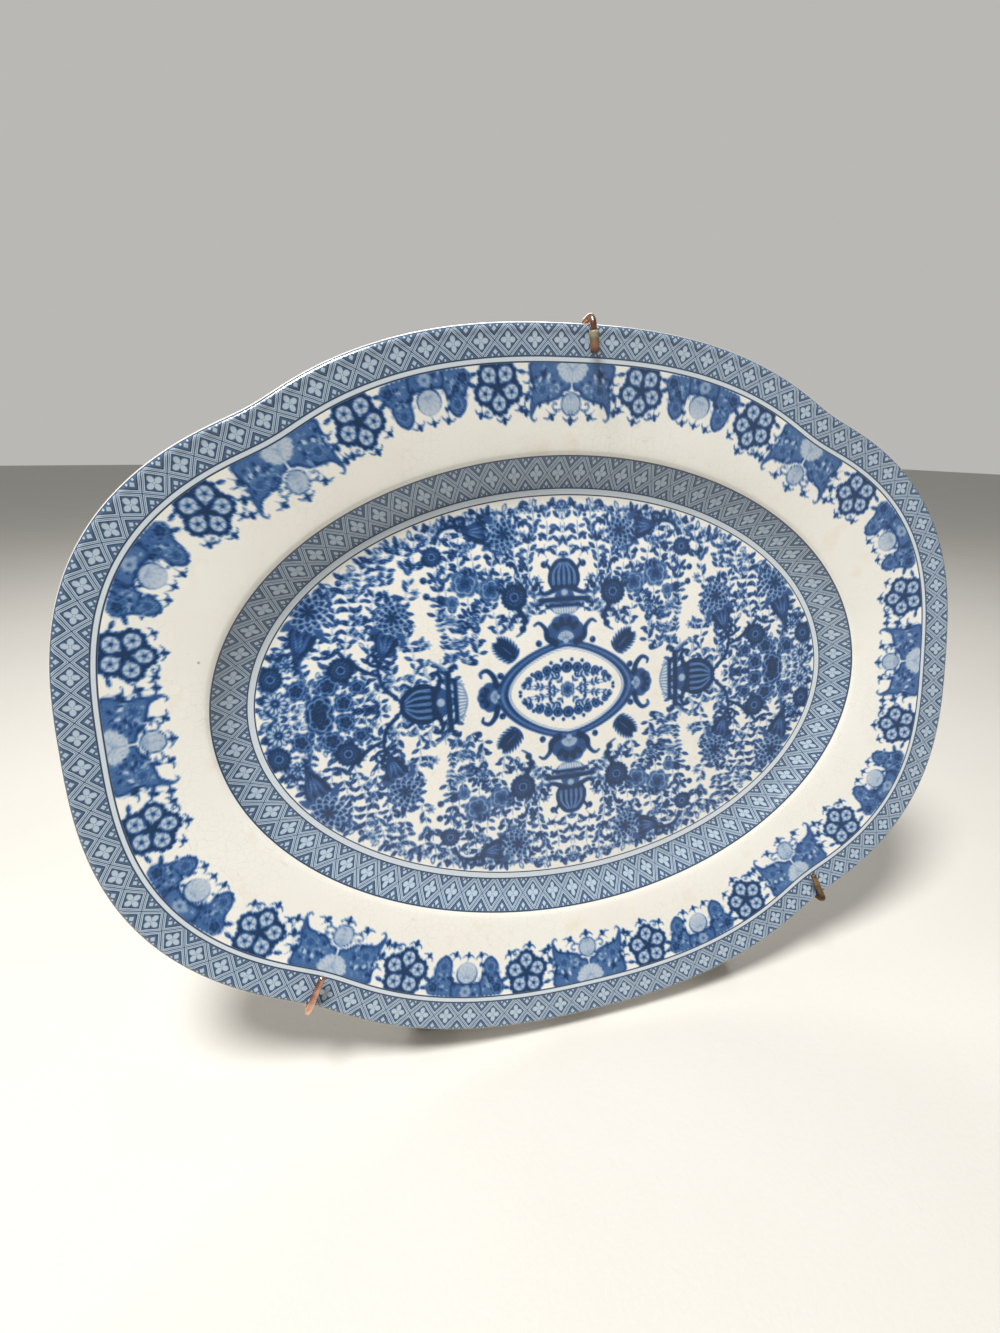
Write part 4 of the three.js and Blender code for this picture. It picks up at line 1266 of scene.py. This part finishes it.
def rubber():
    shade = Shade("moulded_rubber", IOR=1.5)
    tint = shade.mix(shade.noise(160, 4).below(0.42, 0.2), "#201F1E", "#3A3836")
    return shade.finish(tint, shade.noise(120) * 0.25 + 0.5, shade.noise(1500, 2), 0.0001)


def vinyl():
    """Amber tubing, coloured by height: olive and cloudy at its mouth, darker brown towards its tip."""
    shade = Shade("amber_vinyl", IOR=1.5, Coat_Weight=0.3, Coat_Roughness=0.2)
    split = shade.node("SeparateXYZ", {"Vector": shade.place()})
    height = Number(shade, split.outputs["Z"])
    low, high = (corner[2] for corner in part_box("top_claw_sleeve"))
    share = (height - low) * (1 / (high - low)) + (shade.noise(500, 3) - 0.5) * 0.35
    tint = shade.ramp(share, (0.05, "#4A2B1C"), (0.3, "#7C543E"), (0.62, "#6F6048"), (0.85, "#958B72"))
    bands = (height * 1100 + shade.noise(300) * 2).by("SINE").near(1, 0.5, 0.6)
    tint = shade.mix(bands * 0.45, tint, "#5B4A2E")
    return shade.finish(tint, shade.noise(300) * 0.2 + 0.28, shade.noise(900, 3), 0.00025)


def finishes():
    return {
        "brass_tube": metal("drawn_brass", "#C7A060", "#97703C", 0.3),
        "cast_brass": metal("cast_brass", "#A8834B", "#7A592E", 0.44, 0.2, cast=True),
        "copper_wire": metal("copper_wire", "#E0B49C", "#8A5A44", 0.2, 0.1),
        "rubber": rubber(),
        "vinyl": vinyl(),
        "spring_steel": metal("spring_steel", "#B9BCC0", "#85878A", 0.3, 0.15),
        "dark_steel": metal("dark_steel", "#4A4845", "#2A2826", 0.42, 0.2),
    }


def dress_node(node, material):
    """Gives a CAD node its finish, smooth round faces and softly broken edges."""
    node.data.materials.clear()
    node.data.materials.append(material)
    node.data.shade_smooth()
    node.data.set_sharp_from_angle(angle=radians(35))
    bevel = node.modifiers.new("edges", "BEVEL")
    bevel.width = 0.00022
    bevel.segments = 2
    bevel.angle_limit = radians(38)
    bevel.harden_normals = True


make_platter()
finish = finishes()
# Painted shade: the right lower claw is the same copper wire as the others, given a darker copy of that
# copper for the shade it sits in.
copper_painted_shade = metal("copper_wire_painted_shade", "#8E6F4C", "#4A3524", 0.3, 0.16)
make_lower_claw("left", -1, finish["copper_wire"])
make_lower_claw("right", 1, copper_painted_shade)
make_top_claw(finish["copper_wire"], finish["vinyl"])
make_spring(finish["spring_steel"])
for subpart in frame["record"]["subparts"]:
    node = frame["nodes"][subpart["node"]]
    if not node.hide_render:
        dress_node(node, finish[subpart["material_slot"]])

# ---- stage, lights and camera


def area_light(name, place, target, size, power, tint):
    data = bpy.data.lights.new(name, "AREA")
    data.shape = "DISK"
    data.size = size
    data.energy = power
    data.color = colour(tint)[:3]
    light = add_object(name, data)
    light.location = place
    light.rotation_euler = (Vector(target) - Vector(place)).to_track_quat("-Z", "Y").to_euler()


def make_stage():
    shade = Shade("floor_paint")
    paint = shade.finish(shade.mix(shade.noise(6), "#D8D5CE", "#DFDCD6"), 0.75, shade.noise(400), 0.0002)
    mesh = bpy.data.meshes.new("floor")
    mesh.from_pydata([(-6, -4, 0), (6, -4, 0), (6, 8, 0), (-6, 8, 0)], [], [(0, 1, 2, 3)])
    mesh.materials.append(paint)
    floor = add_object("floor", mesh)

    world = bpy.data.worlds.new("studio")
    world.use_nodes = True
    tree = world.node_tree
    background = tree.nodes["Background"]
    background.inputs["Color"].default_value = colour("#F1F0EC")
    kinds = ("TexCoord", "SeparateXYZ", "MapRange")
    place, split, strength = (tree.nodes.new("ShaderNode" + kind) for kind in kinds)
    for socket, value in (("From Min", -0.3), ("From Max", 0.6), ("To Min", 0.16), ("To Max", 0.55)):
        strength.inputs[socket].default_value = value
    tree.links.new(place.outputs["Generated"], split.inputs[0])
    tree.links.new(split.outputs["Y"], strength.inputs["Value"])
    tree.links.new(strength.outputs[0], background.inputs["Strength"])
    bpy.context.scene.world = world
    bpy.context.scene.view_settings.view_transform = "Standard"
    area_light("key", (-0.45, -0.42, 1.5), (0, 0, 0.15), 0.45, 29, "#FFFDFA")
    area_light("fill", (1.0, -1.4, 0.6), (0, 0, 0.2), 1.2, 1.5, "#F4F7FF")
    area_light("back", (0.3, 1.2, 1.0), (0, 0, 0.2), 0.8, 6, "#FFFFFF")


def make_camera():
    """A wide lens close in front, left of the middle and above it, turned towards the platter."""
    yaw, pitch, roll = (radians(a) for a in (-14.29, 9.22, -2.95))
    turn = Matrix.Rotation(roll, 3, "Z") @ Matrix.Rotation(pitch, 3, "X") @ Matrix.Rotation(yaw, 3, "Y")
    right, down, forward = (Vector(row.x * U_AXIS - row.y * V_AXIS - row.z * W_AXIS) for row in turn)
    data = bpy.data.cameras.new("camera")
    data.lens = 16.2
    data.sensor_width = 36
    camera = add_object("camera", data)
    place = on_plate([[-114.9, 67.0, 278.0]])[0]
    camera.matrix_world = Matrix.Translation(place) @ Matrix((right, -down, -forward)).transposed().to_4x4()
    bpy.context.scene.camera = camera


make_stage()
make_camera()
